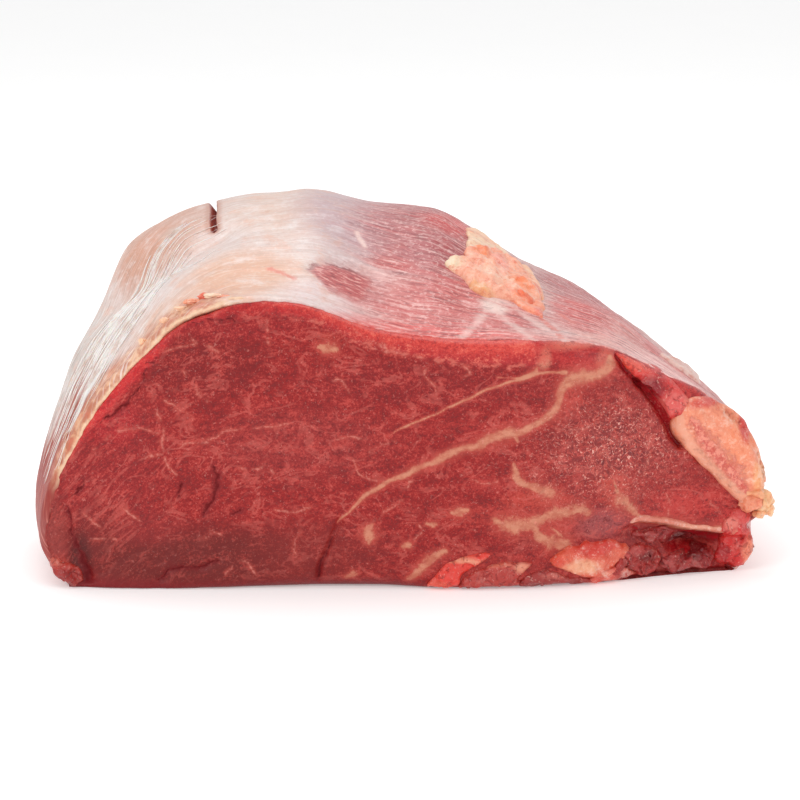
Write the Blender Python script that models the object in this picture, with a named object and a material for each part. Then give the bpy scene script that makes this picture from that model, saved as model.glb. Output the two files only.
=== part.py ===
# A raw beef joint: one block of muscle cut across at the front and at the back, with
# silverskin and fat over its top and flanks. +X right, +Y away from the shown cut, +Z up.
import math

import bmesh
import bpy
import numpy as np
from mathutils import Vector
from mathutils.geometry import delaunay_2d_cdt

# Every size below is in millimetres, and MM turns them into metres.
MM = 0.001

# The shown cut's outline (x, z), from its lower left corner up, over the top and down to
# its lower right corner. A straight lower edge closes it.
CUT_OUTLINE = [
    (-95.0, 0.0), (-100.5, 4.5), (-103.2, 14.0), (-101.0, 27.0), (-94.7, 41.0), (-86.0, 55.0),
    (-75.0, 67.5), (-62.0, 79.0), (-46.0, 83.8), (-27.0, 82.4), (-8.0, 75.0), (15.0, 71.6),
    (38.0, 71.2), (58.0, 68.1), (74.0, 60.0), (88.0, 50.8), (98.5, 43.0), (105.0, 32.5),
    (107.0, 21.5), (105.0, 10.5), (103.5, 3.6), (99.5, 0.0),
]

# Where the two cuts stand along Y, how far they fall back towards their ends, where along X
# those falls start and end, and how much the cuts lean back for each millimetre of height.
FRONT_Y = -71.5
FRONT_FALL_LEFT = 3.5
FRONT_LEFT_FROM = -50.0
FRONT_LEFT_REACH = 53.0
FRONT_FALL_RIGHT = 20.0
FRONT_RIGHT_SPAN = (30.0, 104.0)
FRONT_LEAN = 0.045
BACK_Y = 69.0
BACK_FALL_LEFT = 10.0
BACK_LEFT_SPAN = (-50.0, -104.0)
BACK_FALL_RIGHT = 26.0
BACK_RIGHT_SPAN = (10.0, 104.0)
BACK_LEAN = 0.06

# How the section swells and rises between the two cuts. CROWN is the rise at its peak as a
# share of the height, at places along X, and it is most over the middle.
CROWN = [
    (-112, 0.19), (-46, 0.19), (-27, 0.235), (-8, 0.307), (10, 0.33), (22, 0.255), (31, 0.17),
    (43, 0.08), (56, 0.02), (70, 0.0), (112, 0.0),
]
CROWN_PEAK = 0.62
CROWN_ONSET = 1.3
CROWN_LEFT_AT_BACK = 0.45

# How the flanks swell and draw in: by how much, over which part of the width (along X), and
# over which share of the way to the back cut.
LEFT_FLANK = (-30.0, -95.0)
RIGHT_FLANK = (20.0, 95.0)
LEFT_SWELL = 5.0
LEFT_SWELL_END = 0.9
REAR_TAPER = 9.0
REAR_TAPER_SPAN = (0.45, 1.0)
RIGHT_TAPER = 8.0
RIGHT_TAPER_SPAN = (0.25, 1.0)

# Rounding of the edges of the two cuts.
RIM_RADIUS = 3.2
REAR_RADIUS = 5.0
RIM_STEPS = 3

# Lumps (x, y, z), their radii along X, Y and Z, and how far they stand out. A hollow is below 0.
# The fall-off is how fast a lump dies away past its radii.
LUMP_FALL_OFF = 1.6
LUMPS = {
    "rear lobe": ((-80, 32, 81), (24, 36, 24), 12.5),
    "left shoulder": ((-97, 8, 58), (15, 36, 17), 3.4),
    "left foot": ((-99, -60, 6), (9, 12, 8), 2.0),
    "red lobe beside the crevice": ((82, -52.5, 49.2), (9, 12, 7), 2.6),
    "fat end": ((98, -44.9, 34.5), (13, 16, 15), 2.6),
    "fat knob": ((106, -49, 18.5), (5, 7, 4), 6.5),
    "corner foot": ((101, -51, 6.4), (8, 10, 6), 3.2),
    "gap above the corner foot": ((104, -51, 12.5), (6, 8, 2.6), -3.0),
    "orange patch": ((55, -67, 7.4), (13, 10, 6), 2.4),
    "loose sliver": ((16, -72, 3), (12, 8, 5), 2.2),
    "ragged lump inner": ((70, -62, 5.8), (6, 8, 5), 3.4),
    "ragged lump outer": ((84, -56, 3.4), (7, 8, 3.6), 4.4),
    "cavity": ((86, -55, 9.3), (9, 10, 3.4), -7.0),
    "right shoulder": ((62, -12, 67), (20, 26, 14), 2.4),
    "roll on the right flank": ((103, 8, 27), (9, 26, 9), 3.4),
    "dip over the right roll": ((97, 14, 45), (10, 24, 7), -2.0),
}

# Furrows: their line, half width and depth. A cut's line is in (x, z), and the top's in (x, y).
FRONT_FURROWS = {
    "crevice": ([(62.5, 61.1), (66.5, 56.7), (70.5, 50.8), (73.5, 44.9), (78.5, 40.1), (84, 36.7)], 2.8, 9.0),
    "fat rim": ([(78, 47.1), (80, 44.1), (87, 33.3), (96, 21.4), (101, 17.5)], 2.2, 1.6),
    "under the cream band": ([(68, 14.8), (77, 14), (88, 11.8), (97, 10.5)], 2.6, 2.4),
    "cleft": ([(-9.9, 24.6), (-15.6, 17.3), (-18.5, 13), (-20.8, 9), (-21.4, 5)], 2.0, 2.2),
    "crack": ([(-53, 33), (-52, 31.5), (-53.5, 28), (-56.5, 22.5)], 1.8, 1.4),
    "left foot groove": ([(-97.5, 24), (-94.5, 18.5), (-93, 11.5), (-90, 3)], 2.6, 3.2),
    "upper left groove": ([(-75.5, 56), (-79, 53), (-84, 50), (-88, 48)], 2.4, 2.0),
    "main seam": ([(-8, 28), (6, 36), (23, 44), (34, 48), (41, 56.1), (50, 60.8), (62, 61.1)], 2.6, 0.8),
}
BACK_FURROWS = {
    "rear seam": ([(-58, 30), (-30, 46), (-4, 50), (24, 62)], 2.6, 1.2),
    "rear cleft": ([(34, 12), (46, 26), (52, 44)], 2.2, 2.6),
    "rear lower seam": ([(-40, 12), (-14, 22), (14, 20)], 2.2, 1.0),
}
TOP_FURROWS = {
    "slit behind the hump": ([(-53.5, 75), (-56.5, 30), (-56.5, 0), (-55, -20)], 2.9, 7.0),
    "valley to the left flank": ([(-54.5, -20), (-61, -26), (-71, -23), (-82, -12), (-96, 6)], 8.0, 3.6),
    "end of the torn patch": ([(-26, -44), (-20, -38), (-9, -37)], 2.0, 1.0),
}

# The fat flap on the top: its outline (x, y), how thick it is, the width of its edge, and
# the share of that edge which lies outside the outline.
FLAP_OUTLINE = [
    (19, 24), (27, 20), (33, 14), (39, 20), (43, 10), (43, -10), (42, -28), (37, -34), (30, -32),
    (24, -36), (18, -32), (12, -24), (17, -16), (16, 0),
]
FLAP_THICKNESS = 2.6
FLAP_EDGE = 2.4
FLAP_EDGE_OUTSIDE = 0.4

# A face counts as a cut where its normal's share along Y passes from the first number to the
# second, and as the top where its height does. Relief fades out over the lowest stretch.
CUT_FACING = (0.35, 0.75)
TOP_HEIGHTS = (35.0, 50.0)
BASE_FADE = 2.5

# Gentle unevenness of flesh: how far it goes on the skin and on the cuts, and its waves.
UNEVEN_SKIN = 0.9
UNEVEN_CUT = 0.45
WAVES = [
    ((0.081, 0.043, 0.057), 0.7), ((-0.052, 0.097, 0.061), 2.1), ((0.119, -0.068, 0.104), 4.0),
    ((0.034, 0.141, -0.128), 1.3), ((-0.173, 0.088, 0.149), 5.2), ((0.214, 0.162, -0.071), 3.3),
]

# Fineness of the mesh: points over the skin and along the base, rings along Y, and the
# spacing of the points inside the front cut, its ragged right end and the back cut.
SKIN_POINTS = 106
BASE_POINTS = 12
RINGS = 27
FRONT_SPACING = 3.9
RIGHT_END_SPACING = 2.3
RIGHT_END_FROM = 48.0
BACK_SPACING = 6.0
EDGE_CLEARANCE = 0.62
FIRST_ROW = 0.8
CURVE_STEPS = 24
CROWN_STEPS = 200
WIDEST = 110.0
ON_BASE = 0.01
CUT_TOLERANCE = 1e-6

MEAT_COLOUR = (0.40, 0.045, 0.042, 1.0)
MEAT_ROUGHNESS = 0.38


def smoothstep(low, high, value):
    t = np.clip((value - low) / (high - low), 0.0, 1.0)
    return t * t * (3.0 - 2.0 * t)


def curve_through(points, count):
    """An open smooth curve through the points, at count even steps of its length."""
    knots = np.array(points, float)
    knots = np.vstack([2 * knots[0] - knots[1], knots, 2 * knots[-1] - knots[-2]])
    fine = []
    for i in range(1, len(knots) - 2):
        before, start, end, after = knots[i - 1 : i + 3]
        for t in np.linspace(0, 1, CURVE_STEPS, endpoint=False):
            fine.append(
                0.5 * (2 * start + (end - before) * t
                       + (2 * before - 5 * start + 4 * end - after) * t**2
                       + (3 * start - before - 3 * end + after) * t**3)
            )
    fine = np.array(fine + [knots[-2]])
    length = np.concatenate([[0], np.cumsum(np.linalg.norm(np.diff(fine, axis=0), axis=1))])
    places = np.linspace(0, length[-1], count)
    return np.column_stack([np.interp(places, length, fine[:, k]) for k in range(2)])


def distance_to_line(points, line):
    """How far each point is from a bent line, both in one plane."""
    nearest = np.full(len(points), np.inf)
    line = np.array(line, float)
    for start, end in zip(line[:-1], line[1:]):
        run = end - start
        share = np.clip(((points - start) @ run) / (run @ run), 0.0, 1.0)
        gap = np.linalg.norm(points - start - share[:, None] * run, axis=1)
        nearest = np.minimum(nearest, gap)
    return nearest


def inside_outline(points, outline):
    """Whether each point lies inside a closed outline, both in one plane."""
    found = np.zeros(len(points), bool)
    corners = np.array(outline, float)
    for (x0, y0), (x1, y1) in zip(corners, np.roll(corners, -1, axis=0)):
        if y0 == y1:
            continue
        crosses = (y0 > points[:, 1]) != (y1 > points[:, 1])
        where = x0 + (points[:, 1] - y0) / (y1 - y0) * (x1 - x0)
        found ^= crosses & (points[:, 0] < where)
    return found


def section_loop():
    """The cut's outline as one closed loop: the skin side, then the base."""
    skin = curve_through(CUT_OUTLINE, SKIN_POINTS)
    skin[:, 1] = np.maximum(skin[:, 1], 0.0)
    base_x = np.linspace(skin[-1, 0], skin[0, 0], BASE_POINTS + 2)[1:-1]
    return np.vstack([skin, np.column_stack([base_x, np.zeros(BASE_POINTS)])])


def front_y(x, z):
    left = FRONT_FALL_LEFT * np.maximum((FRONT_LEFT_FROM - x) / FRONT_LEFT_REACH, 0.0) ** 2
    right = FRONT_FALL_RIGHT * smoothstep(*FRONT_RIGHT_SPAN, x)
    return FRONT_Y + left + right + FRONT_LEAN * z


def back_y(x, z):
    left = BACK_FALL_LEFT * smoothstep(*BACK_LEFT_SPAN, x)
    right = BACK_FALL_RIGHT * smoothstep(*BACK_RIGHT_SPAN, x)
    return BACK_Y - left - right - BACK_LEAN * z


def section_at(loop, depth):
    """The outline at a share of the way from the front cut to the back one."""
    x, z = loop[:, 0], loop[:, 1]
    rise = math.sin(0.5 * math.pi * min(depth / CROWN_PEAK, 1.0)) ** CROWN_ONSET
    if depth > CROWN_PEAK:
        past = (depth - CROWN_PEAK) / (1.0 - CROWN_PEAK)
        rise = 1.0 - (1.0 - CROWN_LEFT_AT_BACK) * past**2
    crown = curve_through(CROWN, CROWN_STEPS)
    new_z = z * (1.0 + rise * np.interp(x, crown[:, 0], crown[:, 1]))
    on_left = smoothstep(*LEFT_FLANK, x)
    on_right = smoothstep(*RIGHT_FLANK, x)
    new_x = x - LEFT_SWELL * on_left * math.sin(math.pi * min(depth / LEFT_SWELL_END, 1.0))
    new_x = new_x + REAR_TAPER * on_left * smoothstep(*REAR_TAPER_SPAN, depth)
    new_x = new_x - RIGHT_TAPER * on_right * smoothstep(*RIGHT_TAPER_SPAN, depth)
    return np.column_stack([new_x, new_z])


def inset(section, amount):
    """The section shrunk by an amount, with its base kept flat on z = 0."""
    along = np.roll(section, -1, axis=0) - np.roll(section, 1, axis=0)
    out = np.column_stack([-along[:, 1], along[:, 0]])
    moved = section - amount * out / np.linalg.norm(out, axis=1)[:, None]
    moved[:, 1] = np.where(section[:, 1] < ON_BASE, 0.0, np.maximum(moved[:, 1], 0.0))
    return moved


def rounded_edge(section, depth, radius, inward):
    """Rings that turn from a cut's edge, inset by the radius, towards the section itself."""
    found = []
    for step in range(RIM_STEPS):
        angle = 0.5 * math.pi * step / RIM_STEPS
        edge = inset(section, radius * (1 - math.sin(angle)))
        y = depth + inward * radius * (1 - math.cos(angle))
        found.append(np.column_stack([edge[:, 0], y, edge[:, 1]]))
    return found


def make_rings(loop):
    """The rings of points round the block, from the front cut's edge to the back cut's."""
    front = front_y(loop[:, 0], loop[:, 1])
    back = back_y(loop[:, 0], loop[:, 1])
    found = rounded_edge(section_at(loop, 0.0), front, RIM_RADIUS, 1)
    start, end = front + RIM_RADIUS, back - REAR_RADIUS
    for share in np.linspace(0.0, 1.0, RINGS):
        section = section_at(loop, share)
        y = start + (end - start) * share
        found.append(np.column_stack([section[:, 0], y, section[:, 1]]))
    found += reversed(rounded_edge(section_at(loop, 1.0), back, REAR_RADIUS, -1))
    return found


def even_points(outline, spacing, low_x, high_x):
    """Points in staggered rows inside an outline, clear of its edge."""
    low_z, high_z = outline[:, 1].min(), outline[:, 1].max()
    row_height = spacing * math.sqrt(0.75)
    rows = []
    for row, z in enumerate(np.arange(low_z + FIRST_ROW * row_height, high_z, row_height)):
        x = np.arange(low_x + spacing * 0.5 * (row % 2), high_x, spacing)
        rows.append(np.column_stack([x, np.full(len(x), z)]))
    points = np.vstack(rows)
    points = points[inside_outline(points, outline)]
    closed = np.vstack([outline, outline[:1]])
    return points[distance_to_line(points, closed) > EDGE_CLEARANCE * spacing]


def cut_face(ring, spacings):
    """Triangles over a ring in the XZ plane, with new points inside it."""
    outline = np.column_stack([ring[:, 0], ring[:, 2]])
    inside = np.vstack([even_points(outline, *span) for span in spacings])
    everything = [Vector(p) for p in np.vstack([outline, inside])]
    loop = list(range(len(outline)))
    points, _, faces, _, _, _ = delaunay_2d_cdt(everything, [], [loop], 1, CUT_TOLERANCE)
    return np.array([tuple(p) for p in points]), faces


def plain_block():
    """The block's points and faces before its relief."""
    loop = section_loop()
    stack = make_rings(loop)
    count = len(loop)
    points = list(stack)
    faces = []
    for i in range(len(stack) - 1):
        for j in range(count):
            k = (j + 1) % count
            faces.append((i * count + j, i * count + k, (i + 1) * count + k, (i + 1) * count + j))
    first = len(stack) * count
    ends = (
        (0, front_y, [(FRONT_SPACING, -WIDEST, RIGHT_END_FROM), (RIGHT_END_SPACING, RIGHT_END_FROM, WIDEST)]),
        (len(stack) - 1, back_y, [(BACK_SPACING, -WIDEST, WIDEST)]),
    )
    for ring_index, depth_at, spacings in ends:
        flat, triangles = cut_face(stack[ring_index], spacings)
        inner = flat[count:]
        points.append(np.column_stack([inner[:, 0], depth_at(inner[:, 0], inner[:, 1]), inner[:, 1]]))
        for triangle in triangles:
            faces.append(tuple(ring_index * count + c if c < count else first + c - count for c in triangle))
        first += len(inner)
    return np.vstack(points), faces


def lump_relief(points):
    height = np.zeros(len(points))
    for centre, radii, amount in LUMPS.values():
        away = np.linalg.norm((points - np.array(centre)) / np.array(radii), axis=1)
        height += amount * np.exp(-LUMP_FALL_OFF * away**2)
    return height


def furrow_relief(plane_points, furrows):
    height = np.zeros(len(plane_points))
    for line, half_width, depth in furrows.values():
        away = distance_to_line(plane_points, line)
        height -= depth * np.exp(-((away / half_width) ** 2))
    return height


def flap_relief(plane_points):
    closed = FLAP_OUTLINE + FLAP_OUTLINE[:1]
    away = distance_to_line(plane_points, closed)
    signed = np.where(inside_outline(plane_points, FLAP_OUTLINE), away, -away)
    return FLAP_THICKNESS * smoothstep(-FLAP_EDGE_OUTSIDE * FLAP_EDGE, FLAP_EDGE, signed)


def unevenness(points):
    total = np.zeros(len(points))
    for direction, phase in WAVES:
        total += np.sin(points @ np.array(direction) + phase)
    return total / len(WAVES)


def relief(points, normals):
    """How far each point moves out along its normal."""
    x, y, z = points.T
    on_front = smoothstep(*CUT_FACING, -normals[:, 1])
    on_back = smoothstep(*CUT_FACING, normals[:, 1])
    on_skin = 1.0 - on_front - on_back
    on_top = on_skin * smoothstep(*TOP_HEIGHTS, z)
    cut_plane = np.column_stack([x, z])
    top_plane = np.column_stack([x, y])
    height = lump_relief(points)
    height += on_front * furrow_relief(cut_plane, FRONT_FURROWS)
    height += on_back * furrow_relief(cut_plane, BACK_FURROWS)
    height += on_top * (furrow_relief(top_plane, TOP_FURROWS) + flap_relief(top_plane))
    height += unevenness(points) * (UNEVEN_CUT + (UNEVEN_SKIN - UNEVEN_CUT) * on_skin)
    return height * smoothstep(0.0, BASE_FADE, z)


def vertex_normals(points, faces):
    mesh = bpy.data.meshes.new("plain_block")
    mesh.from_pydata([tuple(p) for p in points], [], faces)
    bm = bmesh.new()
    bm.from_mesh(mesh)
    bmesh.ops.recalc_face_normals(bm, faces=bm.faces)
    bm.normal_update()
    normals = np.array([tuple(v.normal) for v in bm.verts])
    bm.free()
    bpy.data.meshes.remove(mesh)
    return normals


def centred(points):
    """The points moved so that the middle of the bottom of their box is at the origin."""
    low, high = points.min(axis=0), points.max(axis=0)
    return points - np.array([(low[0] + high[0]) / 2, (low[1] + high[1]) / 2, low[2]])


def beef_material():
    material = bpy.data.materials.new("raw_beef")
    material.use_nodes = True
    shader = material.node_tree.nodes["Principled BSDF"]
    shader.inputs["Base Color"].default_value = MEAT_COLOUR
    shader.inputs["Roughness"].default_value = MEAT_ROUGHNESS
    shader.inputs["Metallic"].default_value = 0.0
    return material


def make_joint():
    points, faces = plain_block()
    normals = vertex_normals(points, faces)
    shaped = points + normals * relief(points, normals)[:, None]
    on_base = points[:, 2] < ON_BASE
    shaped[:, 2] = np.where(on_base, 0.0, np.maximum(shaped[:, 2], 0.0))
    mesh = bpy.data.meshes.new("beef_joint")
    mesh.from_pydata([tuple(p) for p in centred(shaped) * MM], [], faces)
    bm = bmesh.new()
    bm.from_mesh(mesh)
    bmesh.ops.recalc_face_normals(bm, faces=bm.faces)
    bmesh.ops.triangulate(bm, faces=bm.faces)
    bm.to_mesh(mesh)
    bm.free()
    mesh.shade_smooth()
    mesh.materials.append(beef_material())
    joint = bpy.data.objects.new("beef_joint", mesh)
    bpy.context.scene.collection.objects.link(joint)
    print("box", shaped.min(axis=0).round(2), shaped.max(axis=0).round(2), len(mesh.polygons))


for old in list(bpy.data.objects):
    bpy.data.objects.remove(old, do_unlink=True)
make_joint()
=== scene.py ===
import itertools
import math

import bmesh
import bpy
import numpy as np
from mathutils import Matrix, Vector
from mathutils.bvhtree import BVHTree
from mathutils.geometry import delaunay_2d_cdt


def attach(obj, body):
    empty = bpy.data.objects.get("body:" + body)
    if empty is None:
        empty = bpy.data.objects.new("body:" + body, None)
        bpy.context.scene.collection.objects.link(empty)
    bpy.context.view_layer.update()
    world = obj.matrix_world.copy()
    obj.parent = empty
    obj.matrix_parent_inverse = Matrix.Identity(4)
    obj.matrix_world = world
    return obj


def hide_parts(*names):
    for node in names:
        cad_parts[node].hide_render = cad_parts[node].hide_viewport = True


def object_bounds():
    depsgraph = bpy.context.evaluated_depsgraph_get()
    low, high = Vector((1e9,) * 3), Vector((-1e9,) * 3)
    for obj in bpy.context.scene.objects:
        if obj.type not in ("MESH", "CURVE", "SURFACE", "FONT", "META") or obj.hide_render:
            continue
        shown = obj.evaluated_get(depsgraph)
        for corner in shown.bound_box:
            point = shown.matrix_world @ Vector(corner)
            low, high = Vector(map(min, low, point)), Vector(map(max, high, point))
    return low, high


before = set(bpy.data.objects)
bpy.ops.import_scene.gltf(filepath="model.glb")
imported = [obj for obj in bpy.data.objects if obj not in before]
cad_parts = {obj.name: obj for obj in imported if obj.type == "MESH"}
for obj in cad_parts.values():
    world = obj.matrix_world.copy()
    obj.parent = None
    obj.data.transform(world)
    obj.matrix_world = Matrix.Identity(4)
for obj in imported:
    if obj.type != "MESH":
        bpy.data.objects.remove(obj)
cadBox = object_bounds()
mm = 0.001  # every size below is in millimetres, before the meat is set on the frame
print("frame loaded")

# The block of meat, with the same driving sizes as the solid: its cut's outline (x, z),
# where the two cuts stand, and how the section swells between them.
block = {
    "cutOutline": [
        (-95, 0), (-100.5, 4.5), (-103.2, 14), (-101, 27), (-94.7, 41), (-86, 55),
        (-75, 67.5), (-62, 79), (-46, 83.8), (-27, 82.4), (-8, 75), (15, 71.6),
        (38, 71.2), (58, 68.1), (74, 60), (88, 50.8), (97.4, 42.6), (103.2, 32.5),
        (105.4, 22.5), (103, 12.5), (101.4, 5), (98, 0),
    ],
    "frontY": -71.5, "frontFallLeft": 3.5, "frontFallRight": 20.0, "frontLean": 0.045,
    "backY": 69.0, "backFallLeft": 10.0, "backFallRight": 26.0, "backLean": 0.06,
    "crown": [
        (-112, 0.19), (-46, 0.19), (-27, 0.235), (-8, 0.307), (10, 0.33), (22, 0.255), (31, 0.17),
        (43, 0.08), (56, 0.02), (70, 0.0), (112, 0.0),
    ],
    "crownPeak": 0.62, "crownLeftAtBack": 0.45,
    "leftSwell": 5.0, "rightTaper": 8.0, "rearTaper": 9.0,
    "rimRadius": 3.2, "rearRadius": 5.0,
    # between which x each cut falls back, and where the section counts as left or right
    "frontLeftRange": (-50.0, -103.0), "frontRightRange": (30.0, 104.0),
    "backLeftRange": (-50.0, -104.0), "backRightRange": (10.0, 104.0),
    "leftSide": (-30.0, -95.0), "rightSide": (20.0, 95.0),
    "boxCentre": (2.08, -2.22),   # the middle of the solid's box, seen from above
}

lumpFall = 1.6   # how fast a lump falls away from its middle

# Lumps (x, y, z), their radii, and how far they stand out. A hollow is below 0.
lumps = {
    "rearLobe": ((-80, 32, 81), (24, 36, 24), 12.5),
    "leftShoulder": ((-97, 8, 58), (15, 36, 17), 2.2),
    "leftFoot": ((-101, -58, 3), (9, 14, 8), -2),
    "redLobe": ((82, -52.5, 49.2), (9, 12, 7), 2.6),
    "fatEnd": ((98, -44.9, 34.5), (13, 16, 15), 1.2),
    "cornerFoot": ((101, -51, 6.4), (8, 10, 6), 0.8),
    "gapAboveFoot": ((104, -51, 12.5), (6, 8, 2.6), -3),
    "orangePatch": ((55, -66.9, 7.4), (13, 10, 6), 1.2),
    "raggedInner": ((70, -62, 5.8), (6, 8, 5), 2),
    "raggedOuter": ((84, -56, 3.4), (7, 8, 3.6), 2.8),
    "cavity": ((86, -55, 9.3), (9, 10, 3.4), -7),
    "rightShoulder": ((62, -12, 67), (20, 26, 14), 2.4),
    "rightRoll": ((103, 8, 27), (9, 26, 9), 1.4),
    "dipOverRoll": ((97, 14, 45), (10, 24, 7), -2),
}

# Furrows: their line, half width and depth. A cut's line is in (x, z), and the top's in (x, y).
frontFurrows = {
    "creviceTop": ([(61.8, 66), (63.3, 63.1), (66.4, 59.4), (70.1, 56.4)], 0.7, 1.4),
    "crevice": ([(68.4, 57.8), (70.8, 55.4), (72.8, 52.2), (75, 49), (77.2, 45.2), (78.7, 41.3), (81, 38.4)],
        1.15, 3.2),
    "fatRim": ([(78, 47.1), (80, 44.1), (87, 33.3), (96, 21.4), (101, 17.5)], 2.2, 1),
    "cleft": ([(-16.8, 20), (-19.9, 13.8), (-21.1, 10.8), (-22.8, 7.5), (-23.4, 3.8)], 1.2, 1.3),
    "leftFootGroove": ([(-95.4, 24), (-93.7, 16.2), (-92, 11.2), (-90.3, 7.2), (-89.3, 2.6)], 2.6, 1.3),
    "upperLeftGroove": ([(-71.8, 63.6), (-73.7, 59.3), (-78.4, 52.4), (-82.2, 50.5), (-86, 46)], 1.6, 0.8),
    "mainSeam": ([(-8, 28), (6, 35), (23, 42.4), (34, 45.4), (42, 49.4), (46, 56), (50, 60), (61, 60.6)],
        2.4, 0.5),
    "lowFold": ([(-68.4, 3.4), (-65.5, 5.5), (-62.7, 6.6), (-58, 5.9), (-54.7, 6.9), (-52.4, 8.6)], 1.4,
        0.6),
}
rearFurrows = {
    "rearSeam": ([(-58, 30), (-30, 46), (-4, 50), (24, 62)], 2.6, 0.6),
    "rearCleft": ([(36, 10), (41, 17), (44, 26), (50, 33)], 1.3, 1),
    "rearLowerSeam": ([(-40, 12), (-14, 22), (14, 20)], 2.2, 0.5),
}
topFurrows = {
    "slit": ([(-55.4, 56), (-56.8, 46), (-57.1, 32), (-56.2, 4), (-55.6, -12)], 0.55, 5),
    "leftValley": ([(-54.5, -20), (-61, -26), (-71, -23), (-84, -10)], 8, 3.6),
    "tornEnd": ([(-26, -44), (-20, -38), (-9, -37)], 2, 0.8),
}

# Where relief belongs to a cut, by how much the surface faces it, and where to the top, by z.
cutFacing = (0.35, 0.75)
topHeights = (35.0, 50.0)
footHeights = (0.0, 2.5)   # relief fades out towards the table
onTable = 0.01             # what lies lower than this is part of the base

# Below this line the right end of the front cut steps back, as (x, z).
shelfLine = [(60, 14.6), (69, 17), (76.9, 15.6), (84.2, 12.9), (90.1, 11.8), (95.4, 11), (112, 9.8)]


def smoothStep(low, high, value):
    t = np.clip((value - low) / (high - low), 0.0, 1.0)
    return t * t * (3.0 - 2.0 * t)


def fromTable(table, place):
    places, values = np.array(table, float).T
    return np.interp(place, places, values)


def curveThrough(points, count, closed=False):
    # a smooth curve through the points, at count even steps of its length
    knots = np.array(points, float)
    if closed:
        knots = np.vstack([knots[-1], knots, knots[:2]])
    else:
        knots = np.vstack([2 * knots[0] - knots[1], knots, 2 * knots[-1] - knots[-2]])
    fine = []
    for i in range(1, len(knots) - 2):
        before, start, end, after = knots[i - 1 : i + 3]
        for t in np.linspace(0, 1, 24, endpoint=False):
            fine.append(
                0.5 * (2 * start + (end - before) * t
                       + (2 * before - 5 * start + 4 * end - after) * t**2
                       + (3 * start - before - 3 * end + after) * t**3)
            )
    fine = np.array(fine + [knots[-2]])
    length = np.concatenate([[0], np.cumsum(np.linalg.norm(np.diff(fine, axis=0), axis=1))])
    places = np.linspace(0, length[-1], count + closed)[:count]
    return np.column_stack([np.interp(places, length, fine[:, k]) for k in range(fine.shape[1])])


def besideSegment(points, start, end):
    # how far points are from a straight piece of line, and which share of it is the nearest
    run = end - start
    share = np.clip(((points - start) @ run) / (run @ run), 0.0, 1.0)
    return np.linalg.norm(points - start - share[:, None] * run, axis=1), share


def distanceToLine(points, line):
    line = np.array(line, float)
    nearest = np.full(len(points), np.inf)
    for start, end in zip(line[:-1], line[1:]):
        nearest = np.minimum(nearest, besideSegment(points, start, end)[0])
    return nearest


def insideOutline(points, outline):
    found = np.zeros(len(points), bool)
    corners = np.array(outline, float)
    for (x0, y0), (x1, y1) in zip(corners, np.roll(corners, -1, axis=0)):
        if y0 == y1:
            continue
        crosses = (y0 > points[:, 1]) != (y1 > points[:, 1])
        where = x0 + (points[:, 1] - y0) / (y1 - y0) * (x1 - x0)
        found ^= crosses & (points[:, 0] < where)
    return found


# Turns the noise off the mesh's own axes, so that no straight edge of it shows.
noiseTurn = np.array([(0.36, 0.48, -0.80), (-0.80, 0.60, 0.0), (0.48, 0.64, 0.60)])


def softNoise(points, size, seed):
    # from -1 to 1, changing over about size millimetres
    lattice = np.random.default_rng(seed).random((32, 32, 32))
    at = points @ noiseTurn.T / size + seed * 1.37
    cell = np.floor(at).astype(int)
    part = at - cell
    part = part**3 * (part * (part * 6 - 15) + 10)
    total = np.zeros(len(points))
    for corner in itertools.product((0, 1), repeat=3):
        weight = np.prod(np.where(corner, part, 1 - part), axis=1)
        i, j, k = ((cell + corner) % 32).T
        total += weight * lattice[i, j, k]
    return total * 2 - 1


def roughNoise(points, size, seed, layers=3):
    total = np.zeros(len(points))
    for layer in range(layers):
        total += softNoise(points, size / 2**layer, seed + layer) / 2**layer
    return total


def noisePush(points, axes, size, seed, step, layers):
    # a column of noise for each axis, their seeds a step apart
    return np.column_stack([roughNoise(points, size, seed + step * k, layers) for k in range(axes)])


def frontAt(x, z):
    start, end = block["frontLeftRange"]
    left = block["frontFallLeft"] * np.clip((start - x) / (start - end), 0.0, 1.2) ** 2
    right = block["frontFallRight"] * smoothStep(*block["frontRightRange"], x)
    return block["frontY"] + left + right + block["frontLean"] * z


def backAt(x, z):
    left = block["backFallLeft"] * smoothStep(*block["backLeftRange"], x)
    right = block["backFallRight"] * smoothStep(*block["backRightRange"], x)
    return block["backY"] - left - right - block["backLean"] * z


crownCurve = curveThrough(block["crown"], 200)


def sectionAt(x, z, depth):
    # where a point of the cut's outline goes at a share of the way to the back cut
    peak = block["crownPeak"]
    depth = np.broadcast_to(depth, np.shape(x)).astype(float)
    rise = np.sin(0.5 * math.pi * np.minimum(depth / peak, 1.0)) ** 1.3
    past = np.maximum(depth - peak, 0.0) / (1.0 - peak)
    rise = rise - (1.0 - block["crownLeftAtBack"]) * past**2
    newZ = z * (1.0 + rise * np.interp(x, crownCurve[:, 0], crownCurve[:, 1]))
    onLeft = smoothStep(*block["leftSide"], x)
    onRight = smoothStep(*block["rightSide"], x)
    newX = x - block["leftSwell"] * onLeft * np.sin(math.pi * np.minimum(depth / 0.9, 1.0))
    newX = newX + block["rearTaper"] * onLeft * smoothStep(0.45, 1.0, depth)
    newX = newX - block["rightTaper"] * onRight * smoothStep(0.25, 1.0, depth)
    return newX, newZ


def lumpRelief(points):
    height = np.zeros(len(points))
    for centre, radii, amount in lumps.values():
        away = np.linalg.norm((points - np.array(centre)) / np.array(radii), axis=1)
        height += amount * np.exp(-lumpFall * away**2)
    return height


def furrowRelief(planePoints, furrows):
    height = np.zeros(len(planePoints))
    for line, halfWidth, depth in furrows.values():
        away = distanceToLine(planePoints, line)
        height -= depth * np.exp(-((away / halfWidth) ** 2))
    return height


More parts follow.
